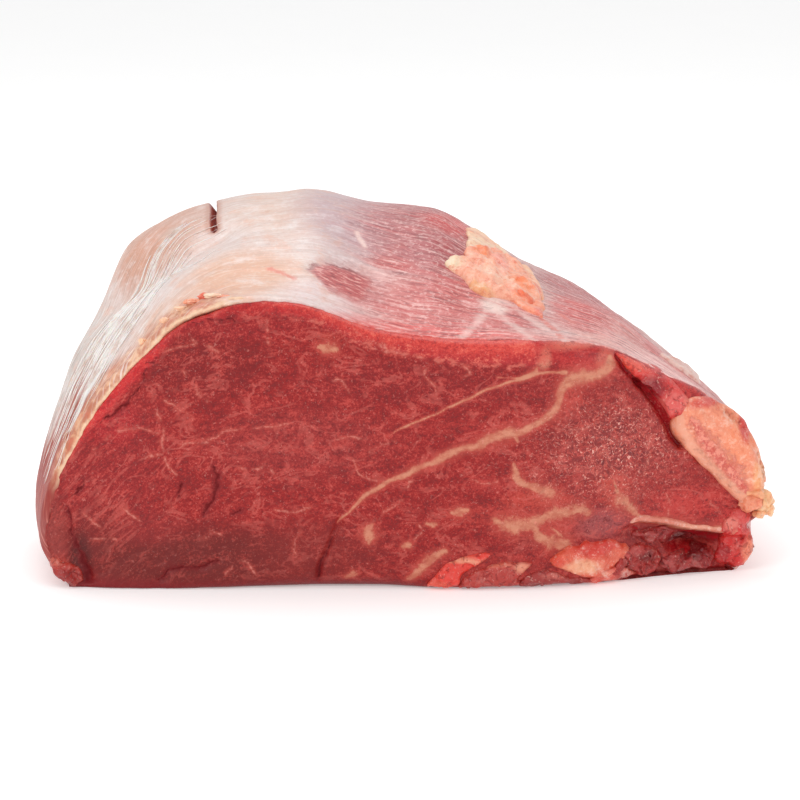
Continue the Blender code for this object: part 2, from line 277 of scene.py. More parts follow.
def mainRelief(points, normals):
    # the lumps and furrows that the solid has too
    x, y, z = points.T
    onFront = smoothStep(*cutFacing, -normals[:, 1])
    onBack = smoothStep(*cutFacing, normals[:, 1])
    onTop = (1.0 - onFront - onBack) * smoothStep(*topHeights, z)
    cutPlane = np.column_stack([x, z])
    height = lumpRelief(points)
    height += onFront * furrowRelief(cutPlane, frontFurrows)
    height += onBack * furrowRelief(cutPlane, rearFurrows)
    height += onTop * furrowRelief(np.column_stack([x, y]), topFurrows)
    return height * smoothStep(*footHeights, z)


def outwardOf(x, z):
    # unit directions out of a closed outline that runs clockwise
    alongX = np.roll(x, -1) - np.roll(x, 1)
    alongZ = np.roll(z, -1) - np.roll(z, 1)
    length = np.hypot(alongX, alongZ)
    return -alongZ / length, alongX / length


def bridgeRings(first, firstPlaces, second, secondPlaces):
    # triangles between two closed rings with their own counts; places run from 0 to 1
    faces, i, j = [], 0, 0
    n, m = len(first), len(second)
    while i < n or j < m:
        nextFirst = firstPlaces[i + 1] if i + 1 < n else 1.0 + (i >= n)
        nextSecond = secondPlaces[j + 1] if j + 1 < m else 1.0 + (j >= m)
        if j >= m or (i < n and nextFirst <= nextSecond):
            faces.append((first[i], first[(i + 1) % n], second[j % m]))
            i += 1
        else:
            faces.append((first[i % n], second[(j + 1) % m], second[j]))
            j += 1
    return faces


def evenPoints(outline, spacing, clearance):
    # points in staggered rows inside an outline, clear of its edge
    low, high = outline.min(axis=0), outline.max(axis=0)
    rowHeight = spacing * math.sqrt(0.75)
    rows = []
    for row, z in enumerate(np.arange(low[1] + 0.8 * rowHeight, high[1], rowHeight)):
        x = np.arange(low[0] + spacing * 0.5 * (row % 2), high[0], spacing)
        rows.append(np.column_stack([x, np.full(len(x), z)]))
    points = np.vstack(rows)
    points = points[insideOutline(points, outline)]
    closed = np.vstack([outline, outline[:1]])
    return points[distanceToLine(points, closed) > clearance * spacing]


def fillOutline(outline, inside):
    everything = [Vector(p) for p in np.vstack([outline, inside])]
    points, _, faces, _, _, _ = delaunay_2d_cdt(everything, [], [list(range(len(outline)))], 1, 1e-6)
    return np.array([tuple(p) for p in points]), faces


def outwardMesh(name, points, faces):
    # a closed mesh whose faces point outwards
    mesh = bpy.data.meshes.new(name)
    mesh.from_pydata([tuple(p) for p in points], [], faces)
    bm = bmesh.new()
    bm.from_mesh(mesh)
    bmesh.ops.recalc_face_normals(bm, faces=bm.faces)
    bm.to_mesh(mesh)
    bm.free()
    return mesh


def normalsOf(points, faces):
    mesh = outwardMesh("forNormals", points, faces)
    found = np.empty(len(points) * 3)
    mesh.vertices.foreach_get("normal", found)
    bpy.data.meshes.remove(mesh)
    return found.reshape(-1, 3)


def addObject(name, data):
    made = bpy.data.objects.new(name, data)
    bpy.context.scene.collection.objects.link(made)
    return made


def aboveTable(points):
    points[:, 2] = np.maximum(points[:, 2], 0.0)
    return points


# From the millimetres used here to the frame, where the middle of the base is the origin.
cadMiddle = (np.array(cadBox[0]) + np.array(cadBox[1])) / 2 / mm
frameShift = np.array([cadMiddle[0] - block["boxCentre"][0], cadMiddle[1] - block["boxCentre"][1], 0.0])


def addValues(mesh, values):
    for key, value in values.items():
        mesh.attributes.new(key, "FLOAT", "POINT").data.foreach_set("value", np.asarray(value, np.float32))


def makePiece(name, points, faces, material, values, tints):
    # a closed mesh on the frame, with its values and tints as attributes
    mesh = outwardMesh(name, (points + frameShift) * mm, faces)
    mesh.shade_smooth()
    addValues(mesh, values)
    colours = np.column_stack([tints, np.ones(len(tints))]).astype(np.float32)
    mesh.attributes.new("tint", "FLOAT_COLOR", "POINT").data.foreach_set("color", colours.ravel())
    mesh.materials.append(material)
    addObject(name, mesh)


def srgb(red, green, blue):
    # a colour as picked on a screen, made linear
    value = np.array([red, green, blue]) / 255
    return np.where(value <= 0.04045, value / 12.92, ((value + 0.055) / 1.055) ** 2.4)


def srgbTable(rows):
    return {name: srgb(*row) for name, row in rows.items()}


far = 400.0   # the radius of a stain along the axis that its plane doesn't have


def planeStains(stains, missing):
    # stains given in a plane, as stains in space that don't end along the missing axis
    return {
        name: (np.insert(centre, missing, 0), np.insert(radii, missing, far), colour, strength)
        for name, (centre, radii, colour, strength) in stains.items()}


def hueOf(colour):
    # a colour given by its name or as picked on a screen
    return hues[colour] if isinstance(colour, str) else srgb(*colour)


def paintStains(points, ground, stains, wobble, seed):
    # soft coloured areas laid over one another; their borders wander by the wobble
    tints = np.tile(hueOf(ground), (len(points), 1))
    drift = noisePush(points, 3, 9.0, seed, 10, 3) * wobble
    for centre, radii, colour, strength in stains.values():
        away = np.linalg.norm((points + drift - np.array(centre)) / np.array(radii), axis=1)
        share = strength * (1 - smoothStep(0.45, 1.25, away))
        tints += (hueOf(colour) - tints) * share[:, None]
    return tints


# Shader building

class Wire:
    # one socket of a material, so that shader maths reads as plain expressions
    def __init__(self, paint, socket):
        self.paint, self.socket = paint, socket

    def __add__(self, other):
        return self.paint.calculate("ADD", self, other)

    def __radd__(self, other):
        return self.paint.calculate("ADD", other, self)

    def __sub__(self, other):
        return self.paint.calculate("SUBTRACT", self, other)

    def __rsub__(self, other):
        return self.paint.calculate("SUBTRACT", other, self)

    def __mul__(self, other):
        return self.paint.calculate("MULTIPLY", self, other)

    def __rmul__(self, other):
        return self.paint.calculate("MULTIPLY", other, self)

    def step(self, low, high):
        # 0 below low and 1 above high, eased between; low may be the larger
        return self.paint.node(
            "ShaderNodeMapRange", {"interpolation_type": "SMOOTHSTEP"},
            {"Value": self, "From Min": low, "From Max": high, "To Min": 0.0, "To Max": 1.0})


class Paint:
    # one material and its nodes
    def __init__(self, name, fixed):
        self.material = bpy.data.materials.new(name)
        self.material.use_nodes = True
        self.tree = self.material.node_tree
        self.shader = self.tree.nodes["Principled BSDF"]
        for socket, value in fixed.items():
            self.shader.inputs[socket].default_value = value
        self.place = self.scaled(self.node("ShaderNodeTexCoord", out="Object"), 1 / mm)

    def node(self, kind, settings=None, sockets=None, out=0):
        made = self.tree.nodes.new(kind)
        for key, value in (settings or {}).items():
            setattr(made, key, value)
        for key, value in (sockets or {}).items():
            self.feed(made.inputs[key], value)
        return Wire(self, made.outputs[out])

    def feed(self, socket, value):
        if isinstance(value, Wire):
            self.tree.links.new(value.socket, socket)
        elif socket.type == "RGBA" and len(value) == 3:
            socket.default_value = (*value, 1.0)
        else:
            socket.default_value = value

    def calculate(self, operation, first, second):
        return self.node("ShaderNodeMath", {"operation": operation}, {0: first, 1: second})

    def scaled(self, vector, by):
        by = (by, by, by) if isinstance(by, (int, float)) else by
        return self.node("ShaderNodeVectorMath", {"operation": "MULTIPLY"}, {0: vector, 1: by})

    def vector(self, x, y, z):
        return self.node("ShaderNodeCombineXYZ", None, {0: x, 1: y, 2: z})

    def value(self, attribute):
        return self.node("ShaderNodeAttribute", {"attribute_name": attribute}, out="Fac")

    def tint(self):
        return self.node("ShaderNodeAttribute", {"attribute_name": "tint"}, out="Color")

    def noise(self, size, detail=2.0, roughness=0.5, at=None, bend=0.0):
        return self.node("ShaderNodeTexNoise", None, {
            "Vector": at or self.place, "Scale": 1 / size, "Detail": detail,
            "Roughness": roughness, "Distortion": bend})

    def warped(self, size, amount):
        # the place, pushed about by noise so that what is laid there wanders
        push = self.node("ShaderNodeTexNoise", None, {"Vector": self.place, "Scale": 1 / size}, out="Color")
        push = self.node("ShaderNodeVectorMath", {"operation": "SUBTRACT"}, {0: push, 1: (0.5, 0.5, 0.5)})
        return self.node("ShaderNodeVectorMath", {"operation": "MULTIPLY_ADD"},
                         {0: push, 1: (amount,) * 3, 2: self.place})

    def blend(self, first, second, amount, way="MIX"):
        return self.node("ShaderNodeMix", {"data_type": "RGBA", "blend_type": way},
                         {0: amount, 6: first, 7: second}, out=2)

    def layers(self, colour, coats):
        # each coat, a hue and its amount, over those before it
        for hue, amount in coats:
            colour = self.blend(colour, hue, amount)
        return colour

    def finish(self, colour, roughness, height, depth, coat=None):
        # height is in millimetres
        self.feed(self.shader.inputs["Base Color"], colour)
        self.feed(self.shader.inputs["Roughness"], roughness)
        if coat is not None:
            self.feed(self.shader.inputs["Coat Weight"], coat)
        bump = self.node("ShaderNodeBump", None, {"Strength": 1.0, "Distance": depth * mm, "Height": height})
        self.feed(self.shader.inputs["Normal"], bump)
        return self.material


# Colours, as picked on a screen

hues = srgbTable({
    "meat": (150, 18, 18),
    "meatDark": (134, 24, 28),
    "meatBrown": (108, 22, 18),
    "meatRight": (154, 46, 43),
    "meatPale": (198, 72, 64),
    "meatDeep": (116, 18, 22),
    "rimRed": (206, 28, 34),
    "rimSalmon": (224, 72, 62),
    "orangeRed": (196, 66, 50),
    "scab": (132, 54, 52),
    # the next two are painted shade for the clefts and for the foot of the cut
    "cleftShadeDark": (100, 7, 14),
    "shadeRed": (126, 14, 22),
    "seam": (196, 116, 90),
    "seamPale": (214, 148, 118),
    "seamPink": (190, 74, 62),
    "vein": (216, 136, 122),
    "silver": (224, 204, 198),
    "peach": (226, 176, 148),
    "torn": (190, 84, 84),
})


# The cut faces: muscle with seams of fat and fine veins, in the cut's plane (x, z)

cut = {
    "skinCount": 620, "baseCount": 120, "sideSkinCount": 150, "sideBaseCount": 24,
    "rearSkinCount": 360, "rearBaseCount": 70, "rimSteps": 7, "sideRings": 9,
    "frontSpacing": 0.54, "rearSpacing": 0.95,
    "edgeUnder": 0.5,       # how far the meat lies under the skin at the cut's edge
    "sideUnder": 1.6, "topUnder": 9.5,   # and further back, on the flanks and on the top
    "rearUnder": 0.8, "leadIn": 1.5,
    # how rounded the foot of the cut is, by x
    "footRadius": [(-110, 0.8), (-64, 1.2), (-45, 4), (-24, 7), (-6, 7), (8, 3.6), (20, 2.5), (34, 5),
                   (48, 4.6), (56, 2.4), (70, 3), (110, 2)],
    # how wide the bright rim under the skin is, by x
    "rimWidth": [(-106, 0.2), (-97, 0.8), (-91, 2.4), (-84, 5.2), (-76, 5.4), (-70, 5.2), (-62, 4),
                 (-46, 4.6), (-34, 4.2), (-22, 4), (0, 5), (20, 6.2), (38, 6.8), (40, 5.6), (52, 7), (60, 5),
                 (65, 1.6), (76, 0.4), (112, 0)],
    "shelfDrop": 2.6,
    "skinShare": 0.75,      # how much of a ring's places from 0 to 1 its skin takes
    "rearRimWidth": 3,
}

# How thick the skin's cut edge shows, and how far past the cut's edge it starts, by the
# distance round the cut from its lower left corner.
skinEdge = {
    "thick": [(0, 0.3), (30, 0.4), (38, 1.2), (48, 2.1), (62, 2.4), (80, 2.2), (96, 2.8), (104, 3.2),
              (112, 2), (120, 1.2), (132, 0.8), (140, 0.6), (150, 0.3), (165, 0.12), (175, 0), (330, 0)],
    "start": [(0, 0.9), (30, 0.7), (62, 0.5), (96, 0.5), (113, 1.2), (128, 2.8), (142, 4.4), (158, 5),
              (190, 5), (330, 4.7)],
}

# Seams of fat as (x, z, half width), so that they swell and taper as they go.
frontSeams = {
    "main": [(-17.6, 19.3, 0.2), (-15.9, 20.7, 0.3), (-12.5, 24.3, 0.4), (-9.1, 27.4, 0.6),
        (-3.5, 30.8, 0.75), (2, 33.4, 0.85), (9.2, 36.6, 1.1), (16.3, 40.2, 1.1), (21.1, 41.2, 1.1),
        (25.8, 43.5, 1.3), (30.6, 44.7, 1.6), (33.7, 44.8, 1.2), (38.5, 47.4, 1.1), (42.5, 49.7, 1.3),
        (44.5, 52.1, 1.2), (45.3, 56, 1.2), (47.6, 59, 1.8), (51.3, 60.3, 1.9), (55.1, 60.4, 1.4),
        (57.6, 61.6, 1.8), (59.4, 63.4, 1.8), (59.4, 65.4, 0.9)],
    "mainSpur": [(32, 45, 1.2), (33.2, 43.2, 0.8), (33.6, 42.2, 0.3)],
    "upper": [(-3, 44.4, 0.1), (-0.6, 46.5, 0.25), (4.2, 48.4, 0.3), (9.2, 50.7, 0.25), (17.1, 54.8, 0.3),
        (24.2, 57.7, 0.3), (31.3, 60, 0.45), (37.6, 62.2, 0.8), (38.6, 63.6, 0.5)],
    "upperLink": [(26.8, 61.4, 0.15), (32.2, 61.2, 0.25), (37.8, 62.1, 0.5), (43, 62.2, 0.3),
        (47, 61.7, 0.6)],
    "shelf": [(67, 17, 0.5), (72, 17.4, 0.9), (76.9, 16.4, 1.2), (84.2, 13.8, 1.3), (90.1, 12.9, 1.3),
        (95.4, 12.2, 1.2), (98, 11.6, 0.8)],
}

# Softer patches of fat, with broken edges
frontBlotches = {
    "palePatch": [(-23, 69.6, 0.7), (-20.4, 69.9, 1.4), (-18, 69.6, 0.7)],
    "barTop": [(32.3, 36.7, 0.3), (33.2, 33.2, 0.7), (34.6, 30.9, 0.9), (37.8, 29.9, 0.8), (41.2, 28, 1.5),
        (42.9, 27, 1.3)],
    "bar": [(27.6, 20.3, 1), (30.7, 18.9, 1.9), (34.1, 18.8, 2), (38.1, 19.6, 1.5), (41.3, 20.8, 1.3),
        (44.4, 21.8, 1.3), (47.9, 21.9, 1.3), (51.3, 22.5, 1.3), (53.7, 21.4, 0.6)],
    "barUnder": [(37.8, 18.7, 1.1), (38.4, 16.3, 1.2), (41.3, 14.4, 1.5), (44.5, 13.3, 1.8),
        (47.4, 12.6, 1.1)],
    "barUnderB": [(42.1, 18.2, 0.1), (45, 16.3, 0.3), (46.8, 14.4, 0.1)],
    "blobRight": [(60.4, 30, 0.2), (62, 26.6, 0.7), (63.4, 23.8, 1.7), (65.4, 22.6, 1.3), (67.6, 20, 0.8),
        (70, 18.4, 0.5)],
    "streakLow": [(2.6, 3, 0.7), (7.4, 8.2, 1), (12, 11.5, 0.8)],
    "midDots": [(14.4, 22.6, 0.6), (16.6, 23, 1), (19.3, 23.2, 0.6)],
    "blobLow": [(-8.8, 14, 0.6), (-8.4, 16.4, 1.3), (-8, 18.6, 0.6)],
    "lowDot": [(0.6, 12.4, 0.5), (2.4, 13, 0.7)],
    "lowDotB": [(-15.6, 3.4, 0.5), (-13.4, 4.4, 0.8)],
    "midSpot": [(7.6, 19.4, 0.5), (9.4, 19, 0.6)],
}

frontVeins = [
    [(-13, 37.9), (-12.2, 34.7), (-9.6, 32.7), (-5.7, 31.1)], [(-8.2, 39.8), (-5.1, 41.6), (-2, 42.7)],
    [(3.1, 31.5), (1.1, 27.4), (-2.6, 23.4), (-7.4, 19.4), (-9.4, 16.2)],
    [(-73.8, 36.5), (-70.9, 38.2), (-67.2, 38.9), (-63.5, 40.6), (-59.4, 42.5), (-54.9, 42.8)],
    [(-56.6, 43.1), (-52.3, 44.3), (-47.5, 46.2), (-39, 46.8), (-31.1, 47.9)],
    [(-67.2, 38.9), (-65.8, 35.7), (-63.6, 32.8)], [(-67.2, 39.4), (-67.1, 46), (-69, 52)],
    [(-88.2, 38.9), (-83.8, 42.6), (-80.9, 45), (-73.7, 46.7), (-68, 45.4)],
    [(-90, 21.4), (-86.6, 19.2), (-84.9, 18.7)], [(-78.5, 22.9), (-75.6, 21.2), (-73.4, 20.1)],
    [(-88.4, 14.3), (-84.3, 15), (-80.3, 14.2)],
    [(-49.6, 5.2), (-47.3, 7.2), (-44.4, 8.6), (-42.2, 6.3), (-41.1, 3.9)],
    [(-55.5, 14.4), (-53.5, 17.2), (-50.6, 15.5)], [(-29.4, 9), (-30, 13.4), (-28.4, 17)],
    [(-66.2, 68.5), (-59.2, 70.5), (-53, 69.9)], [(-59.7, 73.3), (-56.3, 70.5), (-50.7, 68.5)],
    [(-60.7, 62.8), (-57.6, 58.2), (-54.8, 54.2)], [(-66.4, 54.7), (-62.7, 51.9), (-59.4, 50.8)],
    [(-45.4, 35.2), (-41.1, 34.7), (-38, 35.9)], [(-36.9, 34.7), (-33.5, 31.8), (-30.6, 30.6)],
    [(-37.4, 77.6), (-37.6, 74), (-37.5, 70.5)], [(-36.6, 67), (-34.4, 67.3), (-32.4, 67.6), (-30.4, 69)],
    [(-23, 61.5), (-19.5, 60.2), (-16.4, 60.8), (-14.6, 57.4)],
    [(-4.2, 68.5), (-0.6, 67.9), (3.4, 66.7), (7.9, 65.8)], [(6.8, 61.3), (9.6, 58.2), (10.2, 55.9)],
    [(6.8, 61.3), (8.5, 65.3), (10.7, 65.8)], [(16.9, 64.7), (19.7, 62.8), (17.5, 61.6)],
    [(-5.4, 71), (-3.4, 69)], [(-13.5, 74.7), (-9.6, 72.5), (-4.2, 69)],
    [(47.1, 46.4), (49.4, 43.7), (50.6, 41.3)], [(43.9, 45.8), (48.3, 45.5), (53.5, 45.5)],
    [(55.3, 37.5), (58.2, 38.4), (60.5, 39.3)], [(58, 40), (59.4, 34.6), (62, 30)],
    [(76.7, 24), (78, 20.3), (77.4, 17.6)], [(89.8, 21.6), (93.4, 17.3), (94, 15.5)],
    [(72, 42), (71.4, 36), (69.8, 30.8)], [(20, 32), (24, 30.6), (28, 31.4)],
    [(-36, 24), (-30, 22.6), (-26, 24)], [(-20, 42), (-15, 44), (-11, 43.4)],
    [(4, 14.6), (6, 17), (5, 19.4)],
]

# Clefts in the flesh as (x, z, half width), dipped in the relief and darkened with painted shade
frontCreases = {
    "crevice": [(61.8, 66, 0.4), (63.3, 63.1, 0.5), (66.4, 59.4, 0.8), (70.1, 56.4, 1.1), (72.6, 52.7, 1.4),
        (74.8, 49.4, 1.8), (77, 45.2, 2), (78.4, 41.3, 1.3), (81, 38.2, 0.3)],
    "crack": [(-53.6, 35.5, 0.35), (-52.2, 33.1, 0.7), (-51.9, 30.3, 0.7), (-53.4, 27.2, 0.6),
        (-54.6, 24.5, 0.75), (-56.3, 22, 0.3)],
    "shortCrack": [(-61.6, 30.5, 0.3), (-62.8, 28.7, 0.6), (-63.1, 26.6, 0.3)],
    "dash": [(-47.8, 21.3, 0.4), (-46, 23.1, 0.5)],
    "groove": [(-94.6, 23.4, 0.4), (-93.7, 16.2, 0.3), (-92, 11.2, 0.5), (-90.3, 7.2, 0.8),
        (-89.3, 2.6, 0.9)],
    "upperFissure": [(-71.8, 63.6, 0.1), (-73.7, 59.3, 0.2), (-76.2, 55.4, 0.3), (-78.4, 52.4, 0.6),
        (-82.2, 50.1, 0.5), (-86, 46.6, 0.1)],
    "upperFissureB": [(-71.1, 65, 0.1), (-68.6, 66.5, 0.2)],
    "underRim": [(-62, 76.3, 0), (-57.5, 76.9, 0.1), (-53.1, 77.5, 0.2), (-47.8, 77.7, 0.2),
        (-42.2, 77.1, 0)],
    "cleftLow": [(-19.2, 15.6, 0.2), (-19.9, 13.8, 0.3), (-21.1, 10.8, 0.4), (-22.8, 7.5, 0.45),
        (-23.4, 3.4, 0.5)],
    "lowFold": [(-68.4, 3.4, 0.4), (-65.5, 5.5, 0.6), (-62.7, 6.6, 0.6), (-58.1, 5.9, 0.5),
        (-54.7, 6.9, 0.6), (-52.4, 8.6, 0.3)],
    "leftNick": [(-93.4, 26.6, 0.1), (-91.3, 29, 0.3), (-89.8, 31.9, 0.1)],
    "underShelf": [(68, 14.4, 0.4), (74, 13.8, 0.8), (80, 12.4, 0.8), (86.4, 11.4, 1.3), (90.6, 10.2, 1.4),
        (95, 9.6, 0.7)],
}

rearSeams = {
    "long": [(-62, 24, 0.2), (-58, 29, 0.5), (-51, 34.6, 0.9), (-44, 38, 0.8), (-36, 43.6, 1.2),
        (-27, 46.2, 1.4), (-16, 47.4, 0.9), (-4, 50.6, 0.8), (4, 53, 1), (11, 57.6, 0.7), (20, 60.4, 0.5),
        (27, 63, 0.2)],
    "fork": [(-27, 46.2, 0.9), (-22, 51.4, 0.6), (-19, 57, 0.4), (-12, 61, 0.2)],
    "low": [(-44, 9, 0.1), (-39, 12.6, 0.5), (-30, 15, 0.7), (-20, 20, 0.6), (-13, 22.6, 0.9),
        (-5, 21.4, 0.5), (6, 21.8, 0.3), (14, 19.6, 0.1)],
    "right": [(50, 17, 0.1), (54, 24, 0.4), (59, 30, 0.9), (66, 33.4, 1.1), (71, 36.6, 0.6), (78, 38, 0.2)],
    "shelf": [(-86, 20, 0.1), (-83, 27, 0.5), (-80, 34, 0.6), (-74, 40, 0.3)],
}
rearBlotches = {
    "blob": [(-3, 33, 0.8), (0, 34.6, 1.8), (3, 35, 0.8)], "low": [(40, 9, 0.8), (46, 11, 1.4),
        (51, 10, 0.8)],
    "high": [(34, 52, 0.7), (38, 53, 1.2), (43, 52, 0.6)], "bar": [(56, 12, 0.6), (61, 14, 1.6),
        (66, 17, 1.2), (71, 16.4, 0.6)],
    "spots": [(-50, 14, 0.6), (-47, 15.6, 1.2)], "streak": [(14, 34, 0.4), (20, 37.6, 1), (26, 38.4, 0.5)],
    "edge": [(-70, 50, 0.4), (-66, 53, 1.1), (-62, 54, 0.5)],
}
rearVeins = [
    [(-30, 46), (-34, 56), (-30, 64)], [(-4, 50), (-8, 40), (-2, 34)], [(24, 62), (32, 52), (44, 48)],
    [(-70, 12), (-64, 16), (-56, 15)], [(30, 30), (38, 34), (44, 30)], [(-58, 52), (-50, 58), (-42, 58)],
    [(62, 10), (70, 14), (80, 12)], [(4, 12), (10, 8), (18, 9)], [(-16, 66), (-8, 68), (0, 64)],
    [(-24, 30), (-18, 32), (-12, 28)], [(-52, 26), (-46, 24), (-41, 27)], [(-72, 32), (-66, 36), (-64, 42)],
    [(20, 46), (25, 44), (28, 39)], [(46, 40), (52, 44), (58, 43)], [(-36, 6), (-31, 9), (-26, 7)],
    [(-13, 22.6), (-11, 28), (-6, 30)], [(66, 33.4), (68, 27), (73, 24)], [(6, 21.8), (9, 27), (14, 28)],
    [(-44, 66), (-37, 70), (-30, 70)], [(-20, 6), (-14, 10), (-12, 15)], [(78, 22), (83, 25), (86, 30)],
    [(10, 68), (16, 66), (21, 68)],
]
rearCreases = {
    "cleft": [(36, 10, 0.1), (41, 17, 0.5), (44, 26, 0.6), (50, 33, 0.1)], "nick": [(-20, 8, 0.1),
        (-18, 12, 0.4), (-19, 16, 0.1)],
    "upper": [(-46, 72, 0), (-38, 76, 0.2), (-28, 77, 0.1)],
}

# Soft coloured areas of the cuts: centre (x, z), radii, colour and strength
frontStains = {
    "left": ((-84, 40), (22, 22), (148, 24, 28), 0.7),
    "topLeft": ((-56, 66), (22, 13), (126, 8, 12), 0.75),
    "darkTop": ((8, 60), (40, 8), "meatDark", 0.45),
    "midPink": ((-28, 42), (30, 12), (156, 48, 46), 0.6),
    "brownLow": ((-56, 8), (46, 12), "meatBrown", 0.95),
    "brownFoot": ((-86, 14), (14, 12), "meatBrown", 0.6),
    "redLow": ((-72, 18), (13, 6), (150, 36, 36), 0.6),
    "lowMid": ((-22, 9), (22, 12), (134, 30, 26), 0.7),
    "rightMuscle": ((66, 34.7), (34, 24), (158, 28, 24), 0.7),
    "wet": ((58, 43), (18, 13), (144, 24, 20), 0.8),
    "redUnderSeam": ((24, 47), (20, 2.4), (176, 48, 44), 0.4),
    "redAbove": ((24, 31), (8, 3), (172, 46, 42), 0.5),
    "orangeA": ((39, 26), (11, 3.4), "orangeRed", 0.6),
    "orangeB": ((24, 22), (14, 3.6), (182, 56, 48), 0.6),
    "orangeC": ((61.5, 28), (5, 6), "orangeRed", 0.75),
    "orangeE": ((46, 17.2), (12, 3.4), (184, 62, 54), 0.6),
    "brownBlock": ((36, 13), (6, 3), (128, 36, 36), 0.5),
    "greyRight": ((58, 17.5), (9, 5), (152, 72, 74), 0.85),
    "redStrip": ((84, 21), (16, 5), (196, 54, 50), 0.7),
    "lowRight": ((26, 6), (22, 6), (172, 52, 46), 0.6),
    "scab": ((76, 11.5), (15, 4.4), (138, 40, 38), 0.9),
    "cavity": ((82.6, 7.2), (4.6, 2.2), (168, 6, 20), 1.0),
    "raggedLumps": ((72, 4), (12, 4), (140, 50, 50), 0.8),
    "foot": ((98, 6.3), (7, 6), (184, 44, 42), 0.8),
    "tipRed": ((96, 15), (5, 4), (206, 60, 58), 0.8),
    "leftFlesh": ((-99, 16), (4.4, 12), (150, 56, 50), 0.85),
    "leftFoot": ((-97, 4), (5, 5), (186, 62, 48), 0.8),
    "redLobe": ((78, 54), (9, 8), (196, 48, 46), 0.8),
    "rimGap": ((40.6, 66.6), (2.2, 3.6), (232, 158, 130), 0.7),
    "blockTop": ((52, 70.2), (12, 2.0), (238, 160, 132), 0.75),
    "blockEnd": ((58.6, 64.4), (3.2, 3.6), (232, 158, 132), 0.8),
    "underSeam": ((49, 54), (4, 5), (198, 70, 60), 0.6),
    # painted shade: a dark band in the groove at the lower left
    "grooveShade": ((-91.4, 7), (3.6, 10), (72, 14, 14), 0.9),
    "lobeLeft": ((-82, 48), (9, 7), (186, 30, 38), 0.6),
    "redTopBand": ((-44, 76), (26, 5), (150, 18, 24), 0.7),
    "fatEndRim": ((107, 30), (8, 17), (232, 134, 102), 1.0),
    "footRim": ((106, 6), (6, 8), (206, 84, 70), 0.9),
}
rearStains = {
    "darkTop": ((0, 60), (60, 12), "meatDark", 0.6),
    "orangeMid": ((-26, 40), (20, 4), (190, 62, 50), 0.5),
    "brownLow": ((30, 8), (60, 9), "meatBrown", 0.7),
    "pink": ((-40, 30), (30, 12), (156, 48, 46), 0.5),
    "right": ((66, 28), (26, 18), "meatRight", 0.6),
    "orange": ((54, 24), (9, 5), "orangeRed", 0.6),
    "grey": ((76, 10), (16, 6), "scab", 0.5),
}


def loopAt(skinCount, baseCount):
    # the cut's outline as one closed loop, its outward directions, and its places from 0 to 1
    skin = curveThrough(block["cutOutline"], skinCount)
    skin[:, 1] = np.maximum(skin[:, 1], 0.0)
    baseX = np.linspace(skin[-1, 0], skin[0, 0], baseCount + 2)[1:-1]
    loop = np.vstack([skin, np.column_stack([baseX, np.zeros(baseCount)])])
    share = cut["skinShare"]
    basePlaces = share + (1 - share) * np.arange(1, baseCount + 1) / (baseCount + 1)
    places = np.concatenate([np.linspace(0, share, skinCount), basePlaces])
    around = np.interp(places, [0, cut["skinShare"], 1], [0, skinLength, skinLength])
    return loop[:, 0], loop[:, 1], places, around


skinLength = np.linalg.norm(np.diff(curveThrough(block["cutOutline"], 2000), axis=0), axis=1).sum()


def insetRing(x, z, amount, y):
    outX, outZ = outwardOf(x, z)
    newX, newZ = x - amount * outX, z - amount * outZ
    newZ = np.where(z < onTable, 0.0, np.maximum(newZ, 0.0))
    return np.column_stack([newX, np.broadcast_to(y, newX.shape), newZ])


noLine, noSeam = 50.0, -6.0   # what a point far from every line, or every seam, is given


def nearestLine(points, lines):
    gap = np.full(len(points), noLine)
    for line in lines:
        gap = np.minimum(gap, distanceToLine(points, curveThrough(line, 2 + 3 * len(line))))
    return gap


def seamLevel(points, seams):
    # 1 in the middle of a seam, 0 at its edge and less outside
    level = np.full(len(points), noSeam)
    for line in seams.values():
        line = curveThrough(line, 4 * len(line))
        for start, end in zip(line[:-1], line[1:]):
            gap, share = besideSegment(points, start[:2], end[:2])
            level = np.maximum(level, 1 - gap / (start[2] + (end[2] - start[2]) * share))
    return level


def cutValues(points, seams, blotches, creases, veins, outlineX, outlineZ):
    # how far each point of a cut is from its seams, veins and edge; the lines wander a little
    wander = 0.3 * noisePush(points, 2, 3.2, 91, 5, 2) + 0.5 * noisePush(points, 2, 9.0, 97, 1, 1)
    jag = 0.8 * noisePush(points, 2, 2.4, 111, 5, 3)
    plane = points[:, [0, 2]]
    bent = plane + wander
    edge = np.column_stack([outlineX, outlineZ])[outlineZ > onTable]
    return {
        "seamLevel": seamLevel(bent, seams), "blotchLevel": seamLevel(bent, blotches),
        "creaseLevel": seamLevel(plane + jag, creases),
        "veinGap": nearestLine(bent + 0.5 * jag, veins),
        "edgeGap": distanceToLine(plane, edge)}


def frontRings():
    # rings that round the front cut's rim, and one that leads in under the skin
    x, z, places, around = loopAt(cut["skinCount"], cut["baseCount"])
    edge = fromTable(skinEdge["thick"], around)
    radius = np.maximum(block["rimRadius"] - edge, 1.0)
    front = frontAt(x, z)
    for angle in np.linspace(0, 0.5 * math.pi, cut["rimSteps"]):
        inward = edge + radius * (1 - math.sin(angle))
        yield insetRing(x, z, inward, front + radius * (1 - math.cos(angle))), places
    inward = np.maximum(edge, cut["edgeUnder"])
    yield insetRing(x, z, inward, front + block["rimRadius"] + cut["leadIn"]), places


def sideRings():
    # a few rings hidden under the skin
    x, z, places, _ = loopAt(cut["sideSkinCount"], cut["sideBaseCount"])
    front, back = frontAt(x, z) + block["rimRadius"], backAt(x, z) - block["rearRadius"]
    for share in np.linspace(0.05, 0.95, cut["sideRings"]):
        ringX, ringZ = sectionAt(x, z, share)
        hidden = cut["sideUnder"] + (cut["topUnder"] - cut["sideUnder"]) * smoothStep(18, 45, ringZ)
        yield insetRing(ringX, ringZ, hidden, front + (back - front) * share), places


